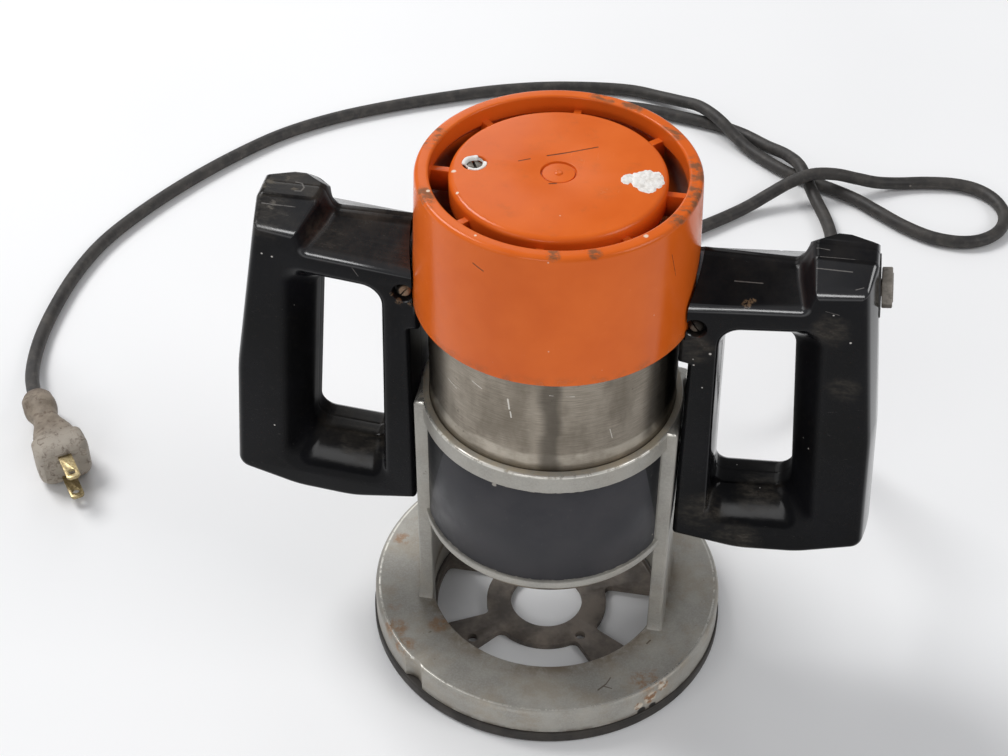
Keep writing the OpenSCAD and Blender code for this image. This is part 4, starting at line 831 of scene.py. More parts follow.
HANDLE_FLECKS = [
    (61.5, -18.5, 174.2, 0.6, 0.4, 0.3), (55.8, -18.5, 167.8, 0.45, 0.4, 0.3), (55.4, -18.5, 170.6, 0.3, 0.4, 0.2),
    (111.6, -18.5, 187.7, 0.5, 0.4, 0.3), (-109.2, -18.5, 196.8, 0.5, 0.4, 0.3), (-105.3, -18.5, 195.8, 0.5, 0.4, 0.3),
    (-111.5, -18.5, 107.4, 0.45, 0.4, 0.3), (59.8, -18.5, 157, 0.35, 0.4, 0.3), (104, -18.5, 199.6, 0.4, 0.4, 0.3)]


def black_phenolic_base():
    """The sub-base: black and matt, its web gone brown with ground-in dust."""
    f = Finish("black_phenolic_base", specular=0.35)
    soft = f.noise(60, 4, 0.6)
    base = f.mix(f.between(soft, 0.3, 0.7), linear(24, 23, 23), linear(36, 34, 32))
    web = f.between(f.radius(), 0.0505, 0.0485)
    dust = f.between(f.noise(75, 5, 0.62), 0.32, 0.68, 0.35, 0.95)
    base = f.mix(f.times(dust, f.math("MULTIPLY_ADD", web, 0.75, 0.15)), base, linear(138, 127, 116))
    rings = f.times(f.between(f.noise(1, 4, 0.6, at=f.stretched((900, 900, 60))), 0.62, 0.75),
                    f.between(f.axis("Z"), 0.0006, 0.0))
    base = f.mix(f.times(rings, 0.5), base, linear(128, 122, 114))
    f.colour(base)
    f.roughness(f.between(f.noise(90, 4), 0.3, 0.7, 0.42, 0.60))
    f.bump((f.noise(500, 4), 0.025), (f.noise(90, 2), 0.030))


def metal_finish(name, dark, light, grain_scale, low, high, dirt=None, dirt_share=0.0, stretch=(1, 1, 1), depth=0.01):
    """Plain metals: two tones, a grain, and a little dirt."""
    f = Finish(name, metallic=1.0)
    grain = f.noise(grain_scale, 5, 0.6, at=f.stretched(stretch))
    base = f.mix(f.between(grain, 0.3, 0.7), linear(*dark), linear(*light))
    if dirt:
        d = f.between(f.noise(grain_scale * 0.3, 6, 0.7), 0.46, 0.68, 0, dirt_share)
        base = f.mix(d, base, linear(*dirt))
        f.metal(f.math("MULTIPLY_ADD", d, -0.8, 1.0))
        f.roughness(f.math("MULTIPLY_ADD", d, 0.4, f.between(grain, 0.3, 0.7, low, high)))
    else:
        f.roughness(f.between(grain, 0.3, 0.7, low, high))
    f.colour(base)
    f.bump((grain, depth))
    return f


def plain_plastic(name, dark, light, scale, low, high, dust=None, share=0.3, depth=0.02, specular=0.5):
    """Plain mouldings: two tones of one colour, dust and a slight unevenness."""
    f = Finish(name, specular=specular)
    soft = f.noise(scale, 4, 0.6)
    base = f.mix(f.between(soft, 0.3, 0.7), linear(*dark), linear(*light))
    d = f.between(f.noise(scale * 2.2, 6, 0.7), 0.46, 0.72, 0, share)
    if dust:
        base = f.mix(d, base, linear(*dust))
    f.colour(base)
    f.roughness(f.math("MULTIPLY_ADD", d, 0.35, f.between(soft, 0.3, 0.7, low, high)))
    f.bump((f.noise(scale * 6, 4), depth))
    return f


def laminated_steel():
    """Stacked sheet steel: fine layers along Z."""
    f = Finish("laminated_steel", metallic=1.0)
    layers = f.math("SINE", f.math("MULTIPLY", f.axis("Z"), 2 * math.pi / 0.0007))
    soft = f.noise(260, 5, 0.65)
    base = f.mix(f.between(layers, -1, 1), linear(72, 70, 70), linear(122, 120, 118))
    base = f.mix(f.between(soft, 0.5, 0.75, 0, 0.6), base, linear(96, 70, 48))
    f.colour(base)
    f.roughness(f.between(soft, 0.3, 0.7, 0.38, 0.6))
    f.bump((layers, 0.04))


def wound_copper(name, dark, light, pitch, around=False):
    """Enamelled wire laid side by side, under varnish."""
    f = Finish(name, metallic=0.75, coat=0.5, coat_rough=0.15)
    run = f.axis("Z") if around else f.math("ADD", f.axis("Y"), f.math("MULTIPLY", f.radius(), 0.8))
    turns = f.math("SINE", f.math("MULTIPLY_ADD", run, 2 * math.pi / pitch, f.math("MULTIPLY", f.noise(90, 3), 5.0)))
    soft = f.noise(120, 4)
    base = f.mix(f.between(turns, -1, 1), linear(*dark), linear(*light))
    base = f.mix(f.between(soft, 0.5, 0.8, 0, 0.5), base, linear(64, 28, 14))
    f.colour(base)
    f.roughness(f.between(soft, 0.3, 0.7, 0.28, 0.45))
    f.bump((turns, 0.12))


def segmented_copper():
    """The commutator: copper bars with darker tracks where the brushes run."""
    f = Finish("segmented_copper", metallic=1.0)
    track = f.times(f.between(f.axis("Z"), brush_low, brush_low + 0.001),
                    f.between(f.axis("Z"), brush_low + 0.0075, brush_low + 0.0065))
    bars = f.math("ABSOLUTE", f.math("SINE", f.math("MULTIPLY", f.angle(), 12)))
    grain = f.noise(1, 4, 0.6, at=f.round_grain(9000, 12))
    base = f.mix(f.between(grain, 0.3, 0.7), linear(176, 106, 66), linear(214, 142, 98))
    base = f.mix(f.times(track, 0.6), base, linear(74, 48, 38))
    base = f.mix(f.between(bars, 0.12, 0.03), base, linear(58, 40, 30))
    f.colour(base)
    f.roughness(f.between(grain, 0.3, 0.7, 0.22, 0.38))
    f.bump((bars, 0.05), (grain, 0.008))


def rubber_cord():
    """The cord's jacket: dark grey rubber, dusty, a little lighter where it has been rubbed."""
    f = Finish("rubber_cord", specular=0.4)
    soft = f.noise(70, 5, 0.65)
    base = f.mix(f.between(soft, 0.3, 0.7), linear(44, 42, 41), linear(64, 61, 58))
    dust = f.between(f.noise(190, 5, 0.65), 0.45, 0.72, 0, 0.45)
    base = f.mix(dust, base, linear(92, 87, 81))
    scars = f.times(f.between(f.cells(120), 0.10, 0.04), f.between(f.noise(22, 2), 0.58, 0.64))
    base = f.mix(f.times(scars, 0.7), base, linear(150, 142, 132))
    f.colour(base)
    f.roughness(f.between(soft, 0.3, 0.7, 0.48, 0.64))
    f.bump((f.noise(900, 4), 0.025), (f.noise(150, 3), 0.05))


def grimy_plug():
    """The plug: pale moulding gone brownish grey, whiter at its rubbed flange."""
    f = Finish("grimy_plug", specular=0.35)
    way = Vector((math.cos(PLUG_TURN), math.sin(PLUG_TURN), 0))
    run = f.tree.nodes.new("ShaderNodeVectorMath")
    run.operation = "DOT_PRODUCT"
    f.tree.links.new(f.place, run.inputs[0])
    run.inputs[1].default_value = way
    along = f.math("SUBTRACT", run.outputs["Value"], way.dot(Vector(PLUG_AT)) * MM)
    soft = f.noise(110, 5, 0.65)
    base = f.mix(f.between(soft, 0.3, 0.7), linear(116, 104, 90), linear(150, 138, 123))
    base = f.mix(f.between(along, 0.030, 0.048, 0, 0.6), base, linear(184, 176, 164))
    base = f.mix(f.between(along, 0.008, 0.001, 0, 0.6), base, linear(92, 80, 70))
    stain = f.between(f.noise(260, 6, 0.75, distort=0.6), 0.50, 0.66)
    base = f.mix(f.times(stain, 0.7), base, linear(86, 68, 54))
    f.colour(base)
    f.roughness(f.between(soft, 0.3, 0.7, 0.5, 0.7))
    f.bump((f.noise(420, 5), 0.08), (stain, -0.05))


def grey_button():
    """The switch button: grey-brown moulding, with painted shade along its lower edge and patches of dirt."""
    f = Finish("grey_button", specular=0.4)
    soft = f.noise(240, 4, 0.6)
    base = f.mix(f.between(soft, 0.3, 0.7), linear(122, 115, 106), linear(148, 141, 131))
    # Painted shade: the button darker below about 197 mm up; the noise patches are dirt.
    dirt = f.either(f.between(f.axis("Z"), 0.1972, 0.1962, 0, 0.75), f.between(f.noise(520, 5, 0.7), 0.48, 0.70, 0, 0.5))
    f.colour(f.mix(dirt, base, linear(62, 54, 46)))
    f.roughness(f.between(soft, 0.3, 0.7, 0.36, 0.5))
    f.bump((f.noise(1400, 4), 0.02))


def handle_screw_steel():
    """Screw heads deep in the handles, rusty; the front ones painted near-black outside a small spot at the centre, as
    shade of their recesses; the left clamp screw has tan dirt on it.
    """
    f = Finish("handle_screw_steel", metallic=0.7, specular=0.4)
    grain = f.noise(700, 5, 0.6)
    base = f.mix(f.between(grain, 0.3, 0.7), linear(62, 54, 46), linear(96, 86, 76))
    # Painted shade: the front screws' heads near-black outside a small spot at each centre, for their deep recesses.
    recess_shade = f.times(f.between(f.axis("Y"), 0.0, -0.010), f.math("SUBTRACT", 1.0, f.marks_at([(54.6, -17.7, 184.9, 1.9, 0.4, 0.8), (-54.6, -17.6, 186.0, 2.6, 0.3, 1.0)])))
    base = f.mix(f.times(recess_shade, 0.85), base, linear(20, 17, 15))
    tan = f.marks_at([(-54.6, -17.6, 186.0, 2.6, 0.3, 1.0)])
    base = f.mix(f.times(tan, 0.8), base, linear(134, 108, 82))
    f.colour(base)
    f.metal(f.math("MULTIPLY_ADD", tan, -0.6, 0.7))
    f.roughness(f.between(grain, 0.3, 0.7, 0.45, 0.65))
    f.bump((grain, 0.03))


def chalky_filler():
    """White filler and paint, dry and crusty, with brown specks in it."""
    f = Finish("chalky_filler", specular=0.3)
    soft = f.noise(420, 5, 0.7)
    base = f.mix(f.between(soft, 0.35, 0.65), linear(222, 217, 210), linear(244, 242, 238))
    specks = f.between(f.noise(600, 5, 0.75), 0.66, 0.73)
    base = f.mix(f.times(specks, 0.8), base, linear(122, 92, 70))
    f.colour(base)
    f.roughness(f.between(soft, 0.3, 0.7, 0.6, 0.8))
    f.bump((soft, 0.16), (specks, -0.10))


brush_low = 0.1718


def make_finishes():
    orange_cap_plastic()
    brushed_can()
    cast_grey_paint()
    bare_label_foil()
    black_handle_plastic()
    black_phenolic_base()
    laminated_steel()
    wound_copper("field_winding", (96, 44, 22), (176, 96, 52), 0.0011)
    wound_copper("armature_winding", (104, 48, 24), (190, 108, 60), 0.0010, around=True)
    segmented_copper()
    rubber_cord()
    grimy_plug()
    chalky_filler()
    handle_screw_steel()
    metal_finish("dull_screw_steel", (98, 92, 84), (150, 145, 138), 700, 0.36, 0.55, (84, 62, 44), 0.8)
    metal_finish("zinc_bolt", (150, 148, 142), (186, 184, 178), 800, 0.28, 0.42, (96, 84, 66), 0.5)
    metal_finish("bearing_steel", (150, 150, 152), (188, 188, 190), 1, 0.16, 0.28, stretch=(900, 900, 120), depth=0.004)
    metal_finish("ground_shaft_steel", (168, 168, 170), (204, 204, 206), 1, 0.14, 0.26, stretch=(160, 160, 5200), depth=0.004)
    metal_finish("black_nut_steel", (86, 84, 82), (126, 124, 120), 620, 0.3, 0.48, (70, 54, 40), 0.6)
    metal_finish("cast_aluminium", (132, 132, 134), (168, 168, 170), 520, 0.38, 0.56, (92, 86, 78), 0.35, depth=0.05)
    metal_finish("sheet_brass", (164, 128, 66), (206, 170, 100), 420, 0.26, 0.42, (96, 72, 40), 0.5)
    metal_finish("spring_wire", (150, 150, 154), (190, 190, 194), 1400, 0.2, 0.34)
    metal_finish("worn_blade_brass", (150, 132, 92), (196, 180, 140), 900, 0.28, 0.46, (104, 88, 66), 0.6)
    plain_plastic("dark_baffle", (34, 32, 31), (48, 45, 43), 180, 0.42, 0.56, (98, 88, 76), 0.4)
    plain_plastic("lead_insulation", (18, 18, 19), (32, 32, 33), 300, 0.36, 0.5, (90, 84, 76), 0.25, 0.01)
    plain_plastic("switch_moulding", (20, 20, 21), (34, 33, 33), 260, 0.36, 0.5, (110, 100, 88), 0.45)
    grey_button()
    plain_plastic("rubber_relief", (18, 18, 18), (34, 33, 32), 220, 0.48, 0.62, (94, 86, 76), 0.45, 0.03, 0.4)
    plain_plastic("carbon_block", (26, 26, 28), (44, 44, 46), 900, 0.4, 0.6, (60, 58, 58), 0.3, 0.02)


# ---------- sizes, in millimetres, the same as the part's ----------

BASE_R = 76.2
SUB_BASE_T = 5.5
WEB_T = 3.0
RING_R = 75.4
RING_HOLE_R = 50.3
RING_TOP = 18.1
COLLAR_LOW, COLLAR_TOP = 69.0, 132.2
BORE_R, WALL_R, LIP_R, RIM_R = 49.08, 50.98, 52.48, 52.58
RIM_H = 3.4
PILLAR_HALF_W = 20.3
PILLAR_IN = 46.68
BOLT_Y, BOLT_Z = 67.68, 100.6
CAN_R = 49.0
CAP_LOW, CAP_TOP = 180.2, 237.2
CAP_R0, CAP_R1 = 54.6, 52.4
INLET_R = 47.1
DISC_R, DISC_Z = 40.0, 235.8
CAP_SCREW_X = 31.0
HANDLE_X = 54.18
HALF_T = 18.5
CLAMP_X, CLAMP_Z = 55.28, 185.5
BUTTON_AT = (119.58, 0, 201.0)
LEAN = math.radians(-7.2)
SCREW_PLACES = [(7, -101), (46, -101), (42, 16)]


# ---------- the cord and its plug ----------

def make_cord():
    path = catmull(CORD_ROUTE, 2.6)
    end = (math.cos(PLUG_TURN), math.sin(PLUG_TURN), 0)
    cord = tube("mains_cord", path, 3.5, 24, (0, 1, 0), end)
    return cord, [p * MM for p in path]


def plug_point(s, across, up):
    c, d = math.cos(PLUG_TURN), math.sin(PLUG_TURN)
    return (PLUG_AT[0] + s * c - across * d, PLUG_AT[1] + s * d + across * c, PLUG_AT[2] + up)


PLUG_RINGS = [
    (0, 4.1, 4.1, 3.9), (0.5, 4.9, 4.9, 4.6), (1.6, 6.1, 6.1, 5.6), (4.4, 7.6, 7.4, 6.8), (9, 8.1, 7.9, 7.2),
    (12, 8.0, 7.8, 7.0), (14, 7.5, 7.3, 6.4), (15.4, 6.7, 6.7, 5.8), (17, 6.4, 6.5, 5.6), (20, 6.2, 6.3, 5.2),
    (24, 7.0, 6.7, 5.2), (28, 8.2, 7.5, 5.2), (33, 9.6, 8.6, 5.2), (37.2, 10.3, 9.2, 5.2), (38.6, 10.5, 9.3, 5.2),
    (39.4, 11.6, 10.0, 5.2), (40.4, 12.3, 10.6, 5), (44, 12.6, 10.8, 5), (49, 12.7, 10.9, 5), (51.6, 12.4, 10.6, 4.8),
    (53.4, 11.5, 9.7, 4.4), (54.5, 10.3, 8.7, 3.6),
]


def make_plug():
    """The moulded plug: round grip, neck, ribbed body and flange, with dents from use."""
    rings = []
    for s, w, h, r in PLUG_RINGS:
        outline = turned([(-w, -h, r), (w, -h, r), (w, h, r), (-w, h, r)], 8)
        rings.append([plug_point(s, p.x, p.y) for p in outline])
    body = loft("plug_moulding", rings)
    grooves = []
    for k in range(4):
        s = 26.4 + k * 3.0
        for side in (-1, 1):
            w = 8.0 + k * 0.75 + 1.2
            grooves.append(prism("groove", [(s, -5.5 + k * -0.3), (s + 1.3, -5.5 + k * -0.3), (s + 1.3, 5.5 + k * 0.3), (s, 5.5 + k * 0.3)],
                                 side * (w - 1.1), side * (w + 4), lambda u, v, h: plug_point(u, h, v)))
    cut(body, *grooves)
    body = eased(body, 0.35, 2, 40)
    for v in body.data.vertices:
        v.co += v.normal * (noise.noise(v.co * 240) * 0.12 - 0.12) * MM
    return body


def make_blades():
    """Two flat blades, one over the other as the plug lies, each with its hole and chamfered tip."""
    pieces = []
    for up in (-6.35, 6.35):
        outline = [(53.9, -3.2), (69.0, -3.2), (70.4, -2.0), (70.4, 2.0), (69.0, 3.2), (53.9, 3.2)]
        blade = prism("blade", outline, up - 0.75, up + 0.75, lambda u, v, h: plug_point(u, v, h))
        hole = loft("hole", [[plug_point(66.4 + 1.6 * math.cos(a), 1.6 * math.sin(a), up + h)
                              for a in (2 * math.pi * k / 28 for k in range(28))] for h in (-3, 3)])
        cut(blade, hole)
        pieces.append(eased(blade, 0.2, 2, 40))
    return joined("plug_contact_blades", pieces)


# ---------- the base ----------

def rounded_profile(points, r, steps=3):
    """A (radius, height) outline with its corners broken by r, given one by one or for all."""
    radii = r if isinstance(r, (list, tuple)) else [r] * len(points)
    return [(p.x, p.y) for p in turned([(a, b, c) for (a, b), c in zip(points, radii)], steps)]


WEB_RING_R, WEB_RIM_R = 26.5, 48.5
REAR_WEB_Y = 12.6
FRONT_WEB_HALF = 11.5


def web_window_side(r, first, last):
    """One curved side of a window in the web; its two ends are corners to be rounded."""
    clear = math.degrees(5.0 / r) * (1 if last > first else -1)
    turns = [first] + [first + clear + (last - first - 2 * clear) * j / 14 for j in range(15)] + [last]
    return [(r * math.cos(math.radians(a)), r * math.sin(math.radians(a)), 3.0 if a in (first, last) else 0) for a in turns]


def make_sub_base():
    """The black disc: rim, four webs that hold a ring round the cutter's hole, countersinks and guide holes."""
    rim = revolve("sub_base_disc", rounded_profile([
        (15.8, 0), (BASE_R, 0), (BASE_R, SUB_BASE_T), (RING_HOLE_R - 1, SUB_BASE_T), (RING_HOLE_R - 1, WEB_T),
        (15.8, WEB_T)], [0.4, 0.9, 0.8, 0.5, 0.6, 0.4]), 192)
    tools = []
    rear_in, rear_out = math.degrees(math.asin(REAR_WEB_Y / WEB_RING_R)), math.degrees(math.asin(REAR_WEB_Y / WEB_RIM_R))
    left_front, right_front = 220 + FRONT_WEB_HALF, 320 - FRONT_WEB_HALF
    for around_ring, around_rim in (((left_front, right_front), (left_front, right_front)),
                                    ((320 + FRONT_WEB_HALF, 360 + rear_in), (320 + FRONT_WEB_HALF, 360 + rear_out)),
                                    ((51.5, 128.5), (51.5, 128.5)),
                                    ((180 - rear_in, 220 - FRONT_WEB_HALF), (180 - rear_out, 220 - FRONT_WEB_HALF))):
        corners = web_window_side(WEB_RING_R, *around_ring) + web_window_side(WEB_RIM_R, *around_rim[::-1])
        outline = [(p.x, p.y) for p in turned(corners, 4)]
        tools.append(prism("window", outline, -2, 5, lambda u, v, h: (u, v, h)))
    for a in (45, 225):
        c, s = math.cos(math.radians(a)), math.sin(math.radians(a))
        tools.append(drum("guide", 2.2, -2, 6, 32, 39.7 * c, 39.7 * s))
        c, s = math.cos(math.radians(a + 90)), math.sin(math.radians(a + 90))
        tools.append(drum("guide", 2.2, -2, 6, 32, 25.5 * c, 25.5 * s))
    for a in (45, 135, 225, 315):
        c, s = 63 * math.cos(math.radians(a)), 63 * math.sin(math.radians(a))
        tools.append(drum("screw_way", 2.6, -2, 8, 32, c, s))
        rings = [[(c + r * math.cos(2 * math.pi * k / 36), s + r * math.sin(2 * math.pi * k / 36), z)
                  for k in range(36)] for r, z in ((5.5, -0.1), (2.5, 2.9))]
        tools.append(loft("countersink", rings))
    cut(rim, *tools)
    return eased(rim, 0.3, 2, 50)


def make_casting():
    """The cast base: ring, two pillars that flare into it, split collar with lip, rim and clamp ears."""
    ring = revolve("cast_ring", rounded_profile([
        (RING_HOLE_R, SUB_BASE_T), (RING_R, SUB_BASE_T), (RING_R, RING_TOP), (RING_HOLE_R, RING_TOP)],
        [0.5, 0.5, 2.2, 1.2], 5), 192)
    bite = drum("bite", 7.2, 3, 21, 40, 79.9 * math.cos(math.radians(-129)), 79.9 * math.sin(math.radians(-129)))
    holes = []
    for a in (45, 135, 225, 315):
        holes.append(drum("screw_hole", 2.44, 2, 15.9, 28, 63 * math.cos(math.radians(a)), 63 * math.sin(math.radians(a))))
    cut(ring, bite, *holes)
    ring = eased(ring, 0.7, 2, 45)
    collar = revolve("cast_collar", rounded_profile([
        (BORE_R, COLLAR_LOW), (RIM_R, COLLAR_LOW), (RIM_R, COLLAR_LOW + RIM_H), (WALL_R, COLLAR_LOW + RIM_H),
        (WALL_R, COLLAR_TOP - 9), (LIP_R + 0.2, COLLAR_TOP - 8.4), (LIP_R, COLLAR_TOP), (BORE_R, COLLAR_TOP)],
        [0.4, 0.6, 0.6, 0.3, 0.45, 0.5, 0.8, 0.45], 4), 224)
    pillars = []
    for side in (-1, 1):
        sections = [
            (RING_TOP - 7, 53.58, 25.0), (RING_TOP - 2, 53.58, 23.5), (RING_TOP, 53.56, 22.2), (RING_TOP + 1.4, 53.3, 21.3),
            (RING_TOP + 4, 52.88, 20.6), (RING_TOP + 12, 52.48, 20.3), (60, 52.48, 20.3), (90, 52.48, 20.3),
            (COLLAR_TOP - 1.8, 52.48, 20.3), (COLLAR_TOP - 0.65, 51.88, 20.1), (COLLAR_TOP - 0.06, 50.68, 19.6)]
        rings = []
        for z, x_out, half in sections:
            outline = turned([(PILLAR_IN, -half, 0.5), (x_out, -half, 1.1), (x_out, half, 1.1), (PILLAR_IN, half, 0.5)], 5)
            rings.append([(side * p.x, p.y, z) for p in outline])
        pillar = loft("pillar", rings)
        room = revolve("room", [(0, RING_TOP - 20), (49.5, RING_TOP - 20), (49.5, COLLAR_LOW + 0.5), (50.0, COLLAR_LOW + 0.5),
                                (50.0, COLLAR_TOP + 5), (0, COLLAR_TOP + 5)], 192)
        pillars.append(cut(pillar, room))
    ears = []
    for side in (-1, 1):
        outline = turned([(49.4, 80.6, 0.1), (54, 83.6, 3), (BOLT_Y - 1, 93.2, 2), (BOLT_Y + 7.4, 93.2, 7.2),
                          (BOLT_Y + 7.4, 108.0, 7.2), (BOLT_Y - 1, 108.0, 2), (54, 117.6, 3), (49.4, 120.6, 0.1)], 5)
        ear = prism("ear", [(p.x, p.y) for p in outline], side * 1.6, side * 9.6, lambda u, v, h: (h, u, v))
        way = drum_x("bolt_way", 3.25, -12, 12, BOLT_Y, BOLT_Z)
        room = drum("room", 50.0, 60, 140, 192)
        cut(ear, way, room)
        ears.append(eased(ear, 0.7, 2, 45))
    body = ring
    for piece in [collar] + pillars + ears:
        m = body.modifiers.new("weld", "BOOLEAN")
        m.operation = "UNION"
        m.solver = "EXACT"
        m.object = piece
    applied(body)
    for piece in [collar] + pillars + ears:
        bpy.data.objects.remove(piece)
    slot = prism("slot", [(-1.6, 43), (1.6, 43), (1.6, 90), (-1.6, 90)], COLLAR_LOW - 2, COLLAR_TOP + 2,
                 lambda u, v, h: (u, v, h))
    cut(body, slot)
    body.name = "cast_base"
    return body


def make_label():
    """The bare label plate: thin, curved round the collar from one pillar to the other, its corners rounded."""
    r_in, r_out = 51.04, 51.46
    steps = 112
    first, last = 204.9, 335.1
    rings = []
    for j in range(steps + 1):
        a = first + (last - first) * j / steps
        edge = min(a - first, last - a)
        drop = 1.6 - math.sqrt(max(0.0, 1.6 ** 2 - (1.6 - min(edge, 1.6)) ** 2))
        top, low = 122.8 - drop, 72.8 + drop
        c, s = math.cos(math.radians(a)), math.sin(math.radians(a))
        rings.append([(r_in * c, r_in * s, low), (r_out * c - 0.1 * c, r_out * s - 0.1 * s, low), (r_out * c, r_out * s, low + 0.15),
                      (r_out * c, r_out * s, top - 0.15), (r_out * c - 0.1 * c, r_out * s - 0.1 * s, top), (r_in * c, r_in * s, top)])
    return loft("label_foil", rings)


def screw_shape(name, r, head_r, head_h, low, slot_w=1.0):
    """A slotted pan-head screw that points up to its head, its head's underside at 0."""
    outline = rounded_profile([(0, low), (r - 0.6, low), (r, low + 0.8), (r, 0), (head_r, 0), (head_r, head_h * 0.5),
                               (head_r * 0.7, head_h), (0, head_h + 0.1)], [0, 0.1, 0.1, 0.1, 0.25, 0.8, 1.2, 0], 3)
    screw = revolve(name, outline, 40)
    slot = prism("slot", [(-slot_w / 2, -10), (slot_w / 2, -10), (slot_w / 2, 10), (-slot_w / 2, 10)], head_h * 0.45, head_h + 3,
                 lambda u, v, h: (u, v, h))
    return cut(screw, slot)


# ---------- the motor unit's outside ----------

def make_can():
    return revolve("motor_can_skin", rounded_profile([
        (47.2, 64), (CAN_R, 64), (CAN_R, 180.8), (47.2, 180.8)], [0.3, 0.8, 0.3, 0.3], 4), 224)


def make_cap():
    """The cap: a tapered skirt with a rounded rim, and a raised disc held by ribs across the air inlet."""
    skirt = revolve("vented_cap", rounded_profile([
        (CAP_R0 - 2.6, CAP_LOW), (CAP_R0, CAP_LOW), (CAP_R1, CAP_TOP), (INLET_R, CAP_TOP),
        (INLET_R, CAP_TOP - 7), (INLET_R + 1.4, CAP_TOP - 9), (CAP_R1 - 3.0, CAP_TOP - 10)],
        [0.5, 0.8, 1.9, 0.9, 0.6, 0.4, 0.4], 6), 224)
    notches = []
    for side in (-1, 1):
        def point(u, v, h, side=side):
            return (side * h, u, v)
        notches.append(prism("notch", [(-7.4, 170), (7.4, 170), (7.4, 202.6), (-7.4, 202.6)], 41, 60, point))
        notches.append(prism("notch", [(-14, 170), (14, 170), (14, 188.5), (-14, 188.5)], 47, 60, point))
    cut(skirt, *notches)
    ring_low, ring_high = DISC_Z - 0.35, DISC_Z
    disc = revolve("disc", rounded_profile([
        (0, ring_low), (5.9, ring_low), (6.0, DISC_Z - 1.0), (6.5, DISC_Z - 1.0), (6.7, ring_high),
        (DISC_R, ring_high), (DISC_R, DISC_Z - 10), (DISC_R - 2.4, DISC_Z - 10), (DISC_R - 2.4, DISC_Z - 3), (0, DISC_Z - 3)],
        [0, 0.15, 0.1, 0.1, 0.15, 2.3, 0.5, 0.5, 0.5, 0], 6), 192)
    wells = []
    for x in (-CAP_SCREW_X, CAP_SCREW_X):
        wells.append(loft("well", [[(x + r * math.cos(a), r * math.sin(a), z) for a in (2 * math.pi * k / 48 for k in range(48))]
                                   for r, z in ((4.35, DISC_Z - 4.4), (4.4, DISC_Z - 0.5), (4.9, DISC_Z + 0.2), (5.0, DISC_Z + 1))]))
    posts = [drum("post", 4.8, DISC_Z - 9, DISC_Z - 2.9, 48, x) for x in (-CAP_SCREW_X, CAP_SCREW_X)]
    for piece in posts:
        m = disc.modifiers.new("weld", "BOOLEAN")
        m.operation = "UNION"
        m.solver = "EXACT"
        m.object = piece
    applied(disc)
    for piece in posts:
        bpy.data.objects.remove(piece)
    cut(disc, *wells, *[drum("way", 2.3, 220, 240, 32, x) for x in (-CAP_SCREW_X, CAP_SCREW_X)])
    gate = revolve("gate_nub", rounded_profile([(0, ring_low - 0.4), (1.5, ring_low - 0.4), (1.5, ring_low + 0.25), (0.9, ring_low + 0.5),
                                                (0, ring_low + 0.35)], [0, 0.1, 0.15, 0.15, 0], 3), 40)
    top, depth, half = CAP_TOP - 5.6, 9.0, 1.45
    section = turned([(DISC_R - 1.2, top - depth, 0.2), (INLET_R + 1.2, top - depth, 0.2), (INLET_R + 1.2, top, 0.2), (DISC_R - 1.2, top, 0.2)], 2)
    rib = prism("rib", [(p.x, p.y) for p in section], -half, half, lambda u, v, h: (u, h, v))
    rib = eased(rib, 0.45, 3, 45)
    ribs = repeated(rib, spread_tree("inlet_ribs", "orange_cap_plastic"), Count=8)
    return joined("vented_cap", [skirt, disc, gate, ribs])


def ragged_ring(name, x, y, z, r_in, r_out, high, seed):
    """A crust of old paint round a screw, broken in two places."""
    rng = random.Random(seed)
    verts, faces = [], []
    n = 72
    for j in range(n):
        a = 2 * math.pi * j / n
        w = noise.noise(Vector((math.cos(a) * 1.1, math.sin(a) * 1.1, seed)))
        gap = max(0.0, min(1.0, (math.cos(a - 0.9) - 0.82) * 9)) + max(0.0, min(1.0, (math.cos(a - 3.9) - 0.9) * 12))
        t = max(0.04, 1.0 - gap)
        a_in, a_out = r_in + w * 0.15 + (1 - t) * 0.5, r_out + w * 0.5 - (1 - t) * (r_out - r_in) * 0.7
        h = high * t * (0.65 + 0.35 * rng.random())
        for r, k in ((a_in, -1.1), (a_in + 0.15, h * 0.4 - 0.4), ((a_in + a_out) / 2, h * 0.8), (a_out - 0.2, h * 0.55), (a_out, -0.3)):
            verts.append((x + r * math.cos(a), y + r * math.sin(a), z + k))
    for j in range(n):
        b = ((j + 1) % n) * 5
        a = j * 5
        for i in range(5):
            faces.append((a + i, a + (i + 1) % 5, b + (i + 1) % 5, b + i))
    return outwards(mesh_of(name, verts, faces))


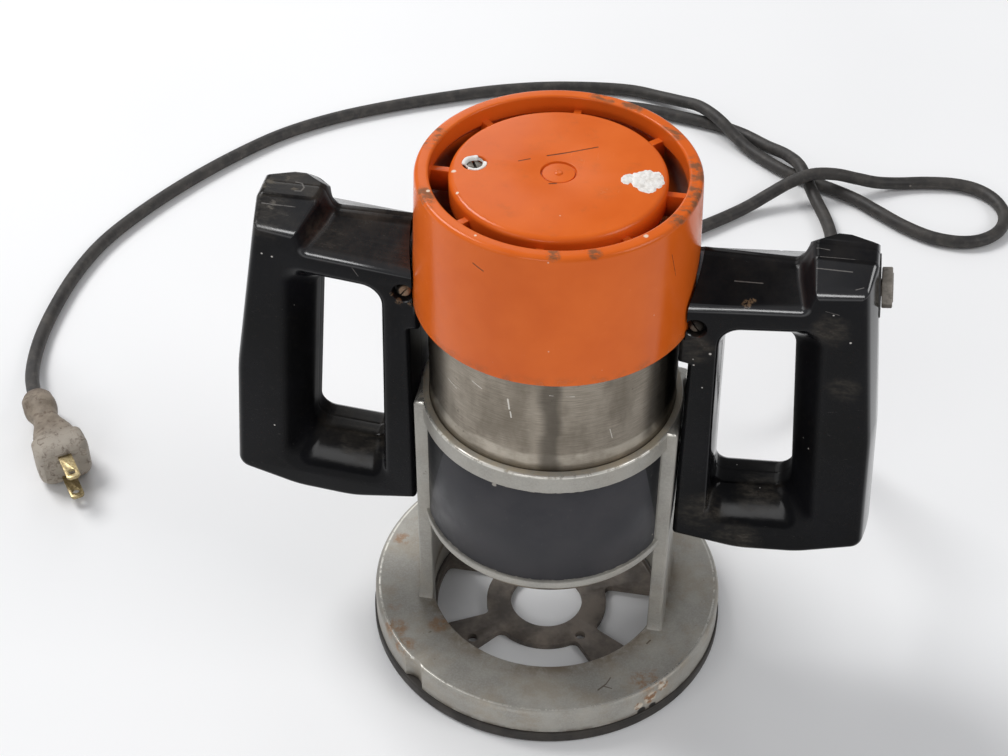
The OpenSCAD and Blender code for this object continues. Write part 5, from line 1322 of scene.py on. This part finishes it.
def filler_blob(name, x, y, z, rx, ry, high, seed):
    """A crusty lump of white filler pressed over a screw."""
    verts, faces = [], []
    rings, n = 16, 84
    for i in range(rings + 1):
        t = i / rings
        for j in range(n):
            a = 2 * math.pi * j / n
            c, s = math.cos(a), math.sin(a)
            lobe = 1 + 0.22 * noise.noise(Vector((c * 0.9, s * 0.9, seed))) + 0.14 * noise.noise(Vector((c * 2.3, s * 2.3, seed + 3)))
            lobe += 0.05 * noise.noise(Vector((c * 5, s * 5, seed + 9))) + 0.03 * noise.noise(Vector((c * 13, s * 13, seed + 5)))
            r = t * lobe
            px, py = x + rx * r * c, y + ry * r * s
            dome = (1 - t ** 6) * high * 0.50
            crust = noise.fractal(Vector((px * 0.55, py * 0.55, seed)), 0.9, 2.1, 5) * high * 0.55 * (1 - t ** 8)
            verts.append((px, py, z + max(-0.35, dome + crust) - 0.35 * t ** 8))
    for i in range(rings):
        for j in range(n):
            a, b = i * n, (i + 1) * n
            faces.append((a + j, a + (j + 1) % n, b + (j + 1) % n, b + j))
    low = len(verts)
    for j in range(n):
        v = verts[rings * n + j]
        verts.append((v[0], v[1], z - 0.5))
    for j in range(n):
        a, b = rings * n, low
        faces.append((a + j, a + (j + 1) % n, b + (j + 1) % n, b + j))
    faces.append(tuple(range(low, low + n)))
    return outwards(mesh_of(name, verts, faces))


# ---------- the handles ----------

PARTING_OUTLINE = [
    (-0.7, -105.8, 1.5, 0, 2), (26, -110.4, 40, 0, 2), (50, -108.4, 40, 0, 2), (77.6, -99.8, 8, 0, 2),
    (73.4, -42, 120, 0, 2), (63.4, 36.8, 3, 7.5, 1), (40.2, 36.8, 3, 7.5, 1), (36, 27.6, 4, 2.6, 1),
    (-4.5, 27.6, 0.5, 2.6, 1), (-4.5, -12.5, 0.5, 0, 2), (-0.7, -13.2, 0.6, 0, 2)]
FACE_OUTLINE = [
    (-0.6, -105, 1.5), (26, -109, 40), (50, -106.6, 40), (74.6, -98.6, 5), (70.6, -42, 120), (60.8, 29.6, 1.5),
    (42.4, 27, 1), (40.2, 19, 3), (-4.5, 14.4, 0.5), (-4.5, -12.5, 0.5), (-0.6, -13.2, 0.6)]
# How far the left handle's upper corners stand nearer to the cap than the right handle's
LEFT_PARTING_SHIFT = [0, 0, 0, 0, 1, 5.2, 5.6, 5.2, 0, 0, 0]
LEFT_FACE_SHIFT = [0, 0, 0, 0, 0.8, 3.5, 0.8, 0.6, 0, 0, 0]
KNOB_PEAK = (50.1, 8.6, 36.8)
LEFT_PEAK_SHIFT = 5.4
BLIND_END = 13.3
PARTING_WINDOW = [(11.2, 0.8, 8, 6, 1.5), (13.2, -83.2, 5, 6, 1.5), (44.4, -80.7, 7, 6, 1.5), (37.6, 2.2, 8, 6, 1.5)]
FACE_WINDOW = [(9.4, 6, 9), (12, -97.6, 6), (54.8, -95, 9), (47.6, 10.6, 6)]
FACE_ROUND = 2.3


def handle_ring(part, face, y, at, way, steps):
    """The handle's outline at a distance y from the parting plane."""
    corners = []
    for p, q in zip(part, face):
        t = min(1.0, max(0.0, (y - p[3]) / (HALF_T - p[3]))) ** p[4]
        corners.append(tuple(p[k] + (q[k] - p[k]) * t for k in range(3)))
    d = HALF_T - y
    edge = 0.0 if d >= FACE_ROUND else FACE_ROUND - d * 2.5 if d < 0 else FACE_ROUND - math.sqrt(FACE_ROUND ** 2 - (FACE_ROUND - d) ** 2)
    return [(p.x + HANDLE_X, -at, p.y + CAP_LOW) for p in turned(moved_in(corners, way * edge), steps)]


def handle_levels():
    """Distances from the parting plane, close together where the face rounds over."""
    flat = [0.0, 1.3, 2.6, 4.0, 5.5, 6.6, 7.5, 8.6, 10, 11.5, 13, 14.4, 15.4, 16.2]
    return flat + [HALF_T - FACE_ROUND * (1 - math.sin(math.radians(a))) for a in (15, 30, 45, 60, 75, 90)]


def nearer(outline, shifts):
    return [(p[0] - d,) + tuple(p[1:]) for p, d in zip(outline, shifts)]


def half_outside(parting, face):
    """Outside and finger window of a front half, still unmirrored, with its face at -Y."""
    steps = 9
    levels = handle_levels()
    shell = loft("handle_half", [handle_ring(parting, face, y, y, 1, steps) for y in levels])
    rings = []
    for y in [-0.5] + levels[1:] + [HALF_T + 0.6]:
        rings.append(handle_ring(PARTING_WINDOW, FACE_WINDOW, max(0.0, y), y, -1, steps))
    return shell, loft("finger_window", rings)


def cavity_tool(face):
    """The hollow inside a half: it follows the outline, and leaves the screw bosses and the stiffening webs."""
    def to_point(u, v, h):
        return (u + HANDLE_X, -h, v + CAP_LOW)
    outer = [(p.x, p.y) for p in turned(moved_in(face, 3.2), 4)]
    body = prism("hollow", outer, -0.3, HALF_T - 3.2, to_point)
    keep = [prism("keep", [(p.x, p.y) for p in turned(moved_in(FACE_WINDOW, -3.2), 4)], -2, 30, to_point),
            prism("keep", [(-12, -94), (13.6, -94), (13.6, 42), (-12, 42)], -2, 30, to_point)]
    for x, z in SCREW_PLACES:
        keep.append(drum_y("boss", 3.8, -30, 5, HANDLE_X + x, CAP_LOW + z, 32))
    for z in (-64, -34):
        keep.append(prism("web", [(50, z), (80, z), (80, z + 1.6), (50, z + 1.6)], 9, 30, to_point))
    for x in (20, 33):
        keep.append(prism("web", [(x, -115), (x + 1.6, -115), (x + 1.6, -95), (x, -95)], 7, 30, to_point))
    return cut(body, *keep)


def knob_back(peak_x):
    """What is cut off the knob's back, to leave two planes that slope down to each side of its peak."""
    tools = []
    for turn, x0 in ((34.7, -14), (-20.3, -30)):
        tool = prism("knob_back", [(x0, -1), (30, -1), (30, 30), (x0, 30)], 0, 30, lambda u, v, h: (u, v, h))
        tool.data.transform(Matrix.Translation(mm(HANDLE_X + peak_x, KNOB_PEAK[1], CAP_LOW + KNOB_PEAK[2]))
                            @ Matrix.Rotation(math.radians(turn), 4, "Z") @ Matrix.Rotation(math.radians(-44), 4, "X"))
        tools.append(tool)
    return tools


def make_half(name, rear, left=False):
    """One moulded half of a handle, on the right. The front has the clamp screw's recess, the rear the three screw sinks."""
    parting, face = PARTING_OUTLINE, FACE_OUTLINE
    if left:
        parting, face = nearer(parting, LEFT_PARTING_SHIFT), nearer(face, LEFT_FACE_SHIFT)
    shell, window = half_outside(parting, face)
    tools = [window, cavity_tool(face), drum("can_room", 50.2, 60, 179.5, 160), drum("cap_room", 55.0, 179.5 - 0.001, 260, 160)]
    lug = prism("lug_room", [(34, -7.05), (62.28, -7.05), (62.28, 1), (34, 1)], 180.9, 202.4, lambda u, v, h: (u, v, h))
    tools.append(lug)
    tools.append(drum_y("way", 2.2, -BLIND_END if rear else -30, 5, CLAMP_X, CLAMP_Z, 32))
    for x, z in SCREW_PLACES:
        tools.append(drum_y("way", 2.2, -30 if rear else -BLIND_END, 5, HANDLE_X + x, CAP_LOW + z, 32))
    sinks = [(HANDLE_X + x, CAP_LOW + z) for x, z in SCREW_PLACES] if rear else [(CLAMP_X, CLAMP_Z)]
    size = 4.4 if rear else 3.8
    for x, z in sinks:
        rings = [[(x + r * math.cos(a), y, z + r * math.sin(a)) for a in (2 * math.pi * k / 48 for k in range(48))]
                 for r, y in ((size - 0.1, -HALF_T + 3), (size, -HALF_T + 0.6), (size + 0.6, -HALF_T - 0.05), (size + 0.8, -HALF_T - 2))]
        tools.append(loft("sink", rings))
    cut(shell, *tools)
    if rear:
        shell.data.transform(Matrix.Scale(-1, 4, Vector((0, 1, 0))))
        outwards(shell)
        cut(shell, *knob_back(KNOB_PEAK[0] - (LEFT_PEAK_SHIFT if left else 0)))
    if left:
        shell.data.transform(Matrix.Scale(-1, 4, Vector((1, 0, 0))))
        outwards(shell)
    shell.name = name
    return shell


def at_switch(u, v, h):
    """A point of the switch's own frame: out of the handle, across, and up along the grip."""
    c, s = math.cos(LEAN), math.sin(LEAN)
    return (BUTTON_AT[0] + u * c + h * s, BUTTON_AT[1] + v, BUTTON_AT[2] - u * s + h * c)


def switch_box(name, x0, x1, half_w, z0, z1, r=0.0):
    """A block in the switch's frame, with its corners rounded."""
    outline = turned([(-half_w, z0, r), (half_w, z0, r), (half_w, z1, r), (-half_w, z1, r)], 4 if r else 1)
    return prism(name, [(p.x, p.y) for p in outline], x0, x1, lambda u, v, h: at_switch(h, u, v))


def make_switch_body():
    bezel = switch_box("switch_bezel", -1.4, 0.5, 6.5, -10.5, 10.5, 1.2)
    cut(bezel, switch_box("room", -0.5, 2, 5.6, -9.6, 9.6, 0.7))
    eased(bezel, 0.2, 2, 45)
    body = switch_box("body", -15, -0.9, 5.6, -9, 9, 0.8)
    cut(body, switch_box("way", -4, 1, 2.75, -3.55, 5.95))
    eased(body, 0.4, 2, 45)
    return joined("switch_housing", [bezel, body])


def make_button(half_w, low, high):
    """The sliding button: a block with a stem and grip ridges."""
    block = switch_box("button", 0.8, 4.7, half_w, low, high, 1.0)
    eased(block, 0.5, 3, 45)
    stem = switch_box("stem", -3.6, 1.4, 2.4, (low + high) / 2 - 2.4, (low + high) / 2 + 2.4, 0.4)
    count = 6
    ridge = tube("ridge", [at_switch(4.55, v, low + 2.6) for v in (-half_w + 1.2, -half_w + 1.8, half_w - 1.8, half_w - 1.2)],
                 0.42, 10)
    step = Vector(at_switch(0, 0, (high - low - 5.2) / (count - 1))) - Vector(at_switch(0, 0, 0))
    ridges = repeated(ridge, row_tree("grip_ridges", "grey_button"), Count=count, Step=tuple(step * MM))
    return joined("slide_button", [block, stem, ridges])


def make_relief():
    """The tapered rubber strain relief with its staggered slots."""
    x, z = 118.48, 92.2
    outline = rounded_profile([
        (0, 12.1), (6.2, 12.1), (6.2, 15.2), (5, 15.2), (5, 18.5), (6.2, 18.5), (6.2, 20.9), (5.4, 21.7), (4.05, 40.5), (0, 40.5)],
        [0, 0.4, 0.3, 0.2, 0.2, 0.5, 0.7, 0.4, 0.5, 0], 4)
    relief = revolve("strain_relief_boot", outline, 64)
    relief.data.transform(Matrix.Translation(mm(x, 0, z)) @ Matrix.Rotation(math.radians(-90), 4, "X"))
    slots = []
    for i in range(4):
        for side in (-1, 1):
            y0 = 23.5 + i * 3.6
            def point(u, v, h, flip=i % 2):
                return (x + (h if flip else v), u, z + (v if flip else h))
            slots.append(prism("slot", [(y0, -9), (y0 + 1.5, -9), (y0 + 1.5, 9), (y0, 9)], side * 3.95, side * 9, point))
    cut(relief, *slots)
    return eased(relief, 0.18, 2, 45)


def make_wing_nut():
    boss = revolve("wing_nut", rounded_profile([(3.05, 0), (6, 0), (6, 2), (5, 9), (3.05, 9)], [0.2, 0.4, 0.4, 0.6, 0.3], 3), 56)
    wings = []
    for side in (-1, 1):
        outline = turned([(3.8, -5, 0.5), (5.5, -4.6, 1), (10.4, -4, 2), (12.35, -1.6, 1.5), (12.35, 3, 1.6), (10.0, 5, 2), (6, 4.2, 2), (3.8, 4.6, 0.4)], 4)
        wing = prism("wing", [(side * p.x, p.y) for p in outline], 2, 5, lambda u, v, h: (v, u, h))
        wings.append(eased(wing, 0.6, 3, 45))
    for piece in wings:
        m = boss.modifiers.new("weld", "BOOLEAN")
        m.operation = "UNION"
        m.solver = "EXACT"
        m.object = piece
    applied(boss)
    for piece in wings:
        bpy.data.objects.remove(piece)
    turn = Matrix(((0, 0, 1, 0), (0, 1, 0, 0), (-1, 0, 0, 0), (0, 0, 0, 1)))
    boss.data.transform(Matrix.Translation(mm(9.9, BOLT_Y, BOLT_Z)) @ turn)
    return outwards(boss)


def make_clamp_bolt():
    """Hexagon head with chamfered corners, and a shank whose thread shows beyond the nut."""
    head = loft("head", [[(z, r * math.cos(math.radians(60 * k)), r * math.sin(math.radians(60 * k))) for k in range(6)]
                         for z, r in ((0, 5.7), (-4, 5.7))])
    eased(head, 0.4, 2, 25)
    profile = [(0, -0.5)] + [(3.0, -0.5), (3.0, 12.0)]
    z = 12.0
    while z < 22.6:
        profile += [(3.0, z), (2.62, z + 0.4)]
        z += 0.8
    profile += [(2.6, 23.6), (2.2, 24.4), (0, 24.4)]
    shank = revolve("shank", profile, 40)
    turn = Matrix(((0, 0, 1, 0), (0, 1, 0, 0), (-1, 0, 0, 0), (0, 0, 0, 1)))
    head.data.transform(Matrix.Translation(mm(-9.6, BOLT_Y, BOLT_Z)))
    shank.data.transform(Matrix.Translation(mm(-11.6, BOLT_Y, BOLT_Z)) @ turn)
    outwards(shank)
    return joined("clamp_bolt_set", [head, shank])


def make_collet_nut():
    """The hexagon nut: both ends turned to a cone, a stepped bore, its edges eased."""
    nut = loft("nut", [[(22 / math.sqrt(3) * math.cos(math.radians(60 * k)), 22 / math.sqrt(3) * math.sin(math.radians(60 * k)), z)
                        for k in range(6)] for z in (41, 56)])
    envelope = revolve("envelope", [(0, 41), (10.6, 41), (13, 42.6), (13, 54.8), (11.2, 56), (0, 56)], 96)
    m = nut.modifiers.new("turned", "BOOLEAN")
    m.operation = "INTERSECT"
    m.solver = "EXACT"
    m.object = envelope
    applied(nut)
    bpy.data.objects.remove(envelope)
    bore = revolve("bore", [(0, 40), (4.6, 40), (4.6, 41.1), (5.35, 41.1), (6.1, 42.4), (6.1, 42.7), (7.1, 42.7), (7.1, 57), (0, 57)], 96)
    cut(nut, bore)
    nut.name = "collet_clamp_nut"
    return eased(nut, 0.3, 2, 40)


# ---------- finishes for the nodes that keep their own shape ----------

NODE_FINISH = {
    "bearing_plate": "cast_aluminium", "lower_bearing": "bearing_steel", "field_core": "laminated_steel",
    "field_coils": "field_winding", "fan_baffle": "dark_baffle", "end_housing": "cast_aluminium",
    "upper_bearing": "bearing_steel", "brush_holders": "sheet_brass", "brushes": "carbon_block",
    "brush_springs": "spring_wire", "through_bolts": "zinc_bolt", "motor_leads": "lead_insulation",
    "armature_shaft": "ground_shaft_steel", "armature_core": "laminated_steel", "armature_windings": "armature_winding",
    "commutator": "segmented_copper", "fan": "cast_aluminium", "collet": "ground_shaft_steel",
}


def finish_nodes():
    for name, finish in NODE_FINISH.items():
        obj = bpy.data.objects[name]
        for slot in obj.material_slots:
            slot.material = FINISHES[finish]


# ---------- light, floor and camera ----------

def area_light(name, at, to, size, power, size_y=None):
    data = bpy.data.lights.new(name, "AREA")
    data.shape = "RECTANGLE"
    data.size = size
    data.size_y = size_y or size
    data.energy = power
    obj = bpy.data.objects.new(name, data)
    bpy.context.scene.collection.objects.link(obj)
    obj.location = at
    obj.rotation_euler = (Vector(to) - Vector(at)).to_track_quat("-Z", "Y").to_euler()
    return obj


def make_stage():
    """A pale floor that keeps the shadow, and a world that the camera sees as white."""
    n = 48
    verts = [(0, 0, -0.0004)] + [(6 * math.cos(2 * math.pi * k / n), 6 * math.sin(2 * math.pi * k / n), -0.0004) for k in range(n)]
    floor = mesh_of("floor", verts, [(0, 1 + k, 1 + (k + 1) % n) for k in range(n)], 1.0)
    m = bpy.data.materials.new("pale_floor")
    m.use_nodes = True
    nodes, links = m.node_tree.nodes, m.node_tree.links
    shader = nodes["Principled BSDF"]
    grain = nodes.new("ShaderNodeTexNoise")
    grain.inputs["Scale"].default_value = 6
    ramp = nodes.new("ShaderNodeMix")
    ramp.data_type = "RGBA"
    ramp.inputs[6].default_value = (0.90, 0.90, 0.90, 1)
    ramp.inputs[7].default_value = (0.94, 0.94, 0.94, 1)
    place = nodes.new("ShaderNodeTexCoord")
    links.new(place.outputs["Object"], grain.inputs["Vector"])
    links.new(grain.outputs[0], ramp.inputs["Factor"])
    links.new(ramp.outputs[2], shader.inputs["Base Color"])
    shader.inputs["Roughness"].default_value = 0.9
    shader.inputs["Specular IOR Level"].default_value = 0.1
    floor.data.materials.append(m)

    world = bpy.data.worlds.new("studio")
    bpy.context.scene.world = world
    world.use_nodes = True
    nodes, links = world.node_tree.nodes, world.node_tree.links
    nodes.clear()
    out = nodes.new("ShaderNodeOutputWorld")
    mix = nodes.new("ShaderNodeMixShader")
    rays = nodes.new("ShaderNodeLightPath")
    dim, white = nodes.new("ShaderNodeBackground"), nodes.new("ShaderNodeBackground")
    dim.inputs["Color"].default_value = (0.93, 0.95, 1.0, 1)
    dim.inputs["Strength"].default_value = 0.30
    white.inputs["Color"].default_value = (1, 1, 1, 1)
    white.inputs["Strength"].default_value = 1.0
    links.new(rays.outputs["Is Camera Ray"], mix.inputs[0])
    links.new(dim.outputs[0], mix.inputs[1])
    links.new(white.outputs[0], mix.inputs[2])
    links.new(mix.outputs[0], out.inputs[0])


def make_lights():
    area_light("high_softbox", (-1.8, 0.9, 2.5), (0, 0.05, 0.1), 1.3, 62)
    area_light("front_softbox", (-1.6, -1.6, 1.9), (0, 0, 0.1), 1.2, 6)
    area_light("fill_softbox", (2.1, -0.4, 1.9), (0, 0, 0.1), 1.2, 18)
    area_light("edge_softbox", (-0.2, -1.75, 0.85), (0, 0, 0.15), 0.7, 5.0, 0.35)
    area_light("back_strip", (-0.5, 1.4, 0.9), (0, 0, 0.15), 0.5, 2.5, 1.2)


# ---------- the whole machine ----------

def build():
    make_finishes()

    cord, path = make_cord()
    plug = make_plug()
    blades = make_blades()
    dress(cord, "rubber_cord", None, "cord_jacket", "cord")
    dress(plug, "grimy_plug", "base", "plug", "plug_body")
    dress(blades, "worn_blade_brass", "base", "blades", "plug_blades")
    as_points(path)
    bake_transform(cord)

    dress(make_sub_base(), "black_phenolic_base", "base", "sub_base", "sub_base")
    dress(make_casting(), "cast_grey_paint", "base", "casting", "base_casting")
    dress(make_label(), "bare_label_foil", "base", "label", "label_plate")
    dress(make_clamp_bolt(), "zinc_bolt", "base", "screws", "clamp_bolt")
    dress(make_wing_nut(), "zinc_bolt", "clamp_nut", "screws", "wing_nut")

    base_screw = screw_shape("base_screw", 2.4, 4.5, 2.3, -12.8)
    base_screw.data.transform(Matrix.Rotation(math.pi, 4, "X"))
    base_screw.data.transform(Matrix.Translation(mm(63, 0, 2.7)))
    screws = repeated(outwards(base_screw), spread_tree("base_screws", "dull_screw_steel"), Count=4, **{"First angle": math.pi / 4})
    screws.name = "base_screw_set"
    dress(screws, "dull_screw_steel", "base", "screws", "sub_base_screws")

    dress(make_can(), "brushed_can", "motor_unit", "can", "motor_can")
    dress(make_cap(), "orange_cap_plastic", "motor_unit", "cap", "top_cap")
    cap_screw = screw_shape("cap_screw", 2.0, 4.0, 3.4, -22)
    cap_screw.data.transform(Matrix.Rotation(math.radians(25), 4, "Z"))
    cap_screw.data.transform(Matrix.Translation(mm(CAP_SCREW_X, 0, DISC_Z - 4.4)))
    cap_screws = repeated(outwards(cap_screw), spread_tree("cap_screws", "dull_screw_steel"), Count=2)
    cap_screws.name = "cap_screw_set"
    dress(cap_screws, "dull_screw_steel", "motor_unit", "screws", "cap_screws")
    dress(ragged_ring("old_paint_ring", -CAP_SCREW_X, 0, DISC_Z, 2.9, 4.7, 0.5, 3), "chalky_filler", "motor_unit", "cap", angle=60)
    dress(joined("filler_lump", [filler_blob("filler_lump", CAP_SCREW_X + 1.2, 0.3, DISC_Z, 6.6, 7.6, 0.9, 11),
                                 filler_blob("filler_tail", CAP_SCREW_X - 6.0, 0.4, DISC_Z, 2.6, 3.6, 0.4, 4)]), "chalky_filler", "motor_unit", "cap", angle=70)

    right_front = make_half("right_front_half", False)
    right_rear = make_half("right_rear_half", True)
    left_front = make_half("left_front_half", False, True)
    left_rear = make_half("left_rear_half", True, True)
    for half in (right_front, right_rear):
        cut(half, switch_box("pocket", -1.5, 12, 6.6, -10.6, 10.6, 0.6), switch_box("pocket", -15.4, 5, 6.0, -9.4, 9.4))
    cut(right_rear, drum_y("relief_way", 5.1, 5, 25, 118.48, 92.2, 56))
    for piece, node in ((right_front, "right_handle_front"), (right_rear, "right_handle_rear"),
                        (left_front, "left_handle_front"), (left_rear, "left_handle_rear")):
        eased(piece, 0.2, 2, 46)
        dress(piece, "black_handle_plastic", "motor_unit", "handle", node, angle=42)

    handle_screws = []
    for side in (-1, 1):
        screw = screw_shape("handle_screw", 2.0, 2.9, 2.2, -28, 0.6)
        screw.data.transform(Matrix.Rotation(math.radians(90), 4, "X") @ Matrix.Rotation(math.radians(35 * side), 4, "Z"))
        screw.data.transform(Matrix.Translation(mm(side * CLAMP_X, -HALF_T + 3, CLAMP_Z)))
        handle_screws.append(screw)
        for i, (x, z) in enumerate(SCREW_PLACES):
            screw = screw_shape("handle_screw", 2.0, 4.0, 2.2, -28)
            screw.data.transform(Matrix.Rotation(math.radians(-90), 4, "X") @ Matrix.Rotation(math.radians(50 * i + 20 * side), 4, "Z"))
            screw.data.transform(Matrix.Translation(mm(side * (HANDLE_X + x), HALF_T - 3, CAP_LOW + z)))
            handle_screws.append(screw)
    dress(joined("handle_screw_set", handle_screws), "handle_screw_steel", "motor_unit", "screws", "handle_screws")

    dress(make_switch_body(), "switch_moulding", "motor_unit", "dark_plastic", "switch_body")
    dress(make_button(5, -7.0, 5.4), "grey_button", "switch", "button", "switch_button")
    dress(make_relief(), "rubber_relief", "motor_unit", "dark_plastic", "strain_relief")
    dress(make_collet_nut(), "black_nut_steel", "nut", "nut_steel", "collet_nut")
    finish_nodes()


CORD_LENGTH = sum((Vector(b) - Vector(a)).length for a, b in zip(catmull(CORD_ROUTE, 2.6), catmull(CORD_ROUTE, 2.6)[1:])) * MM

make_stage()
make_lights()
build()

bpy.context.scene.view_settings.view_transform = "Standard"
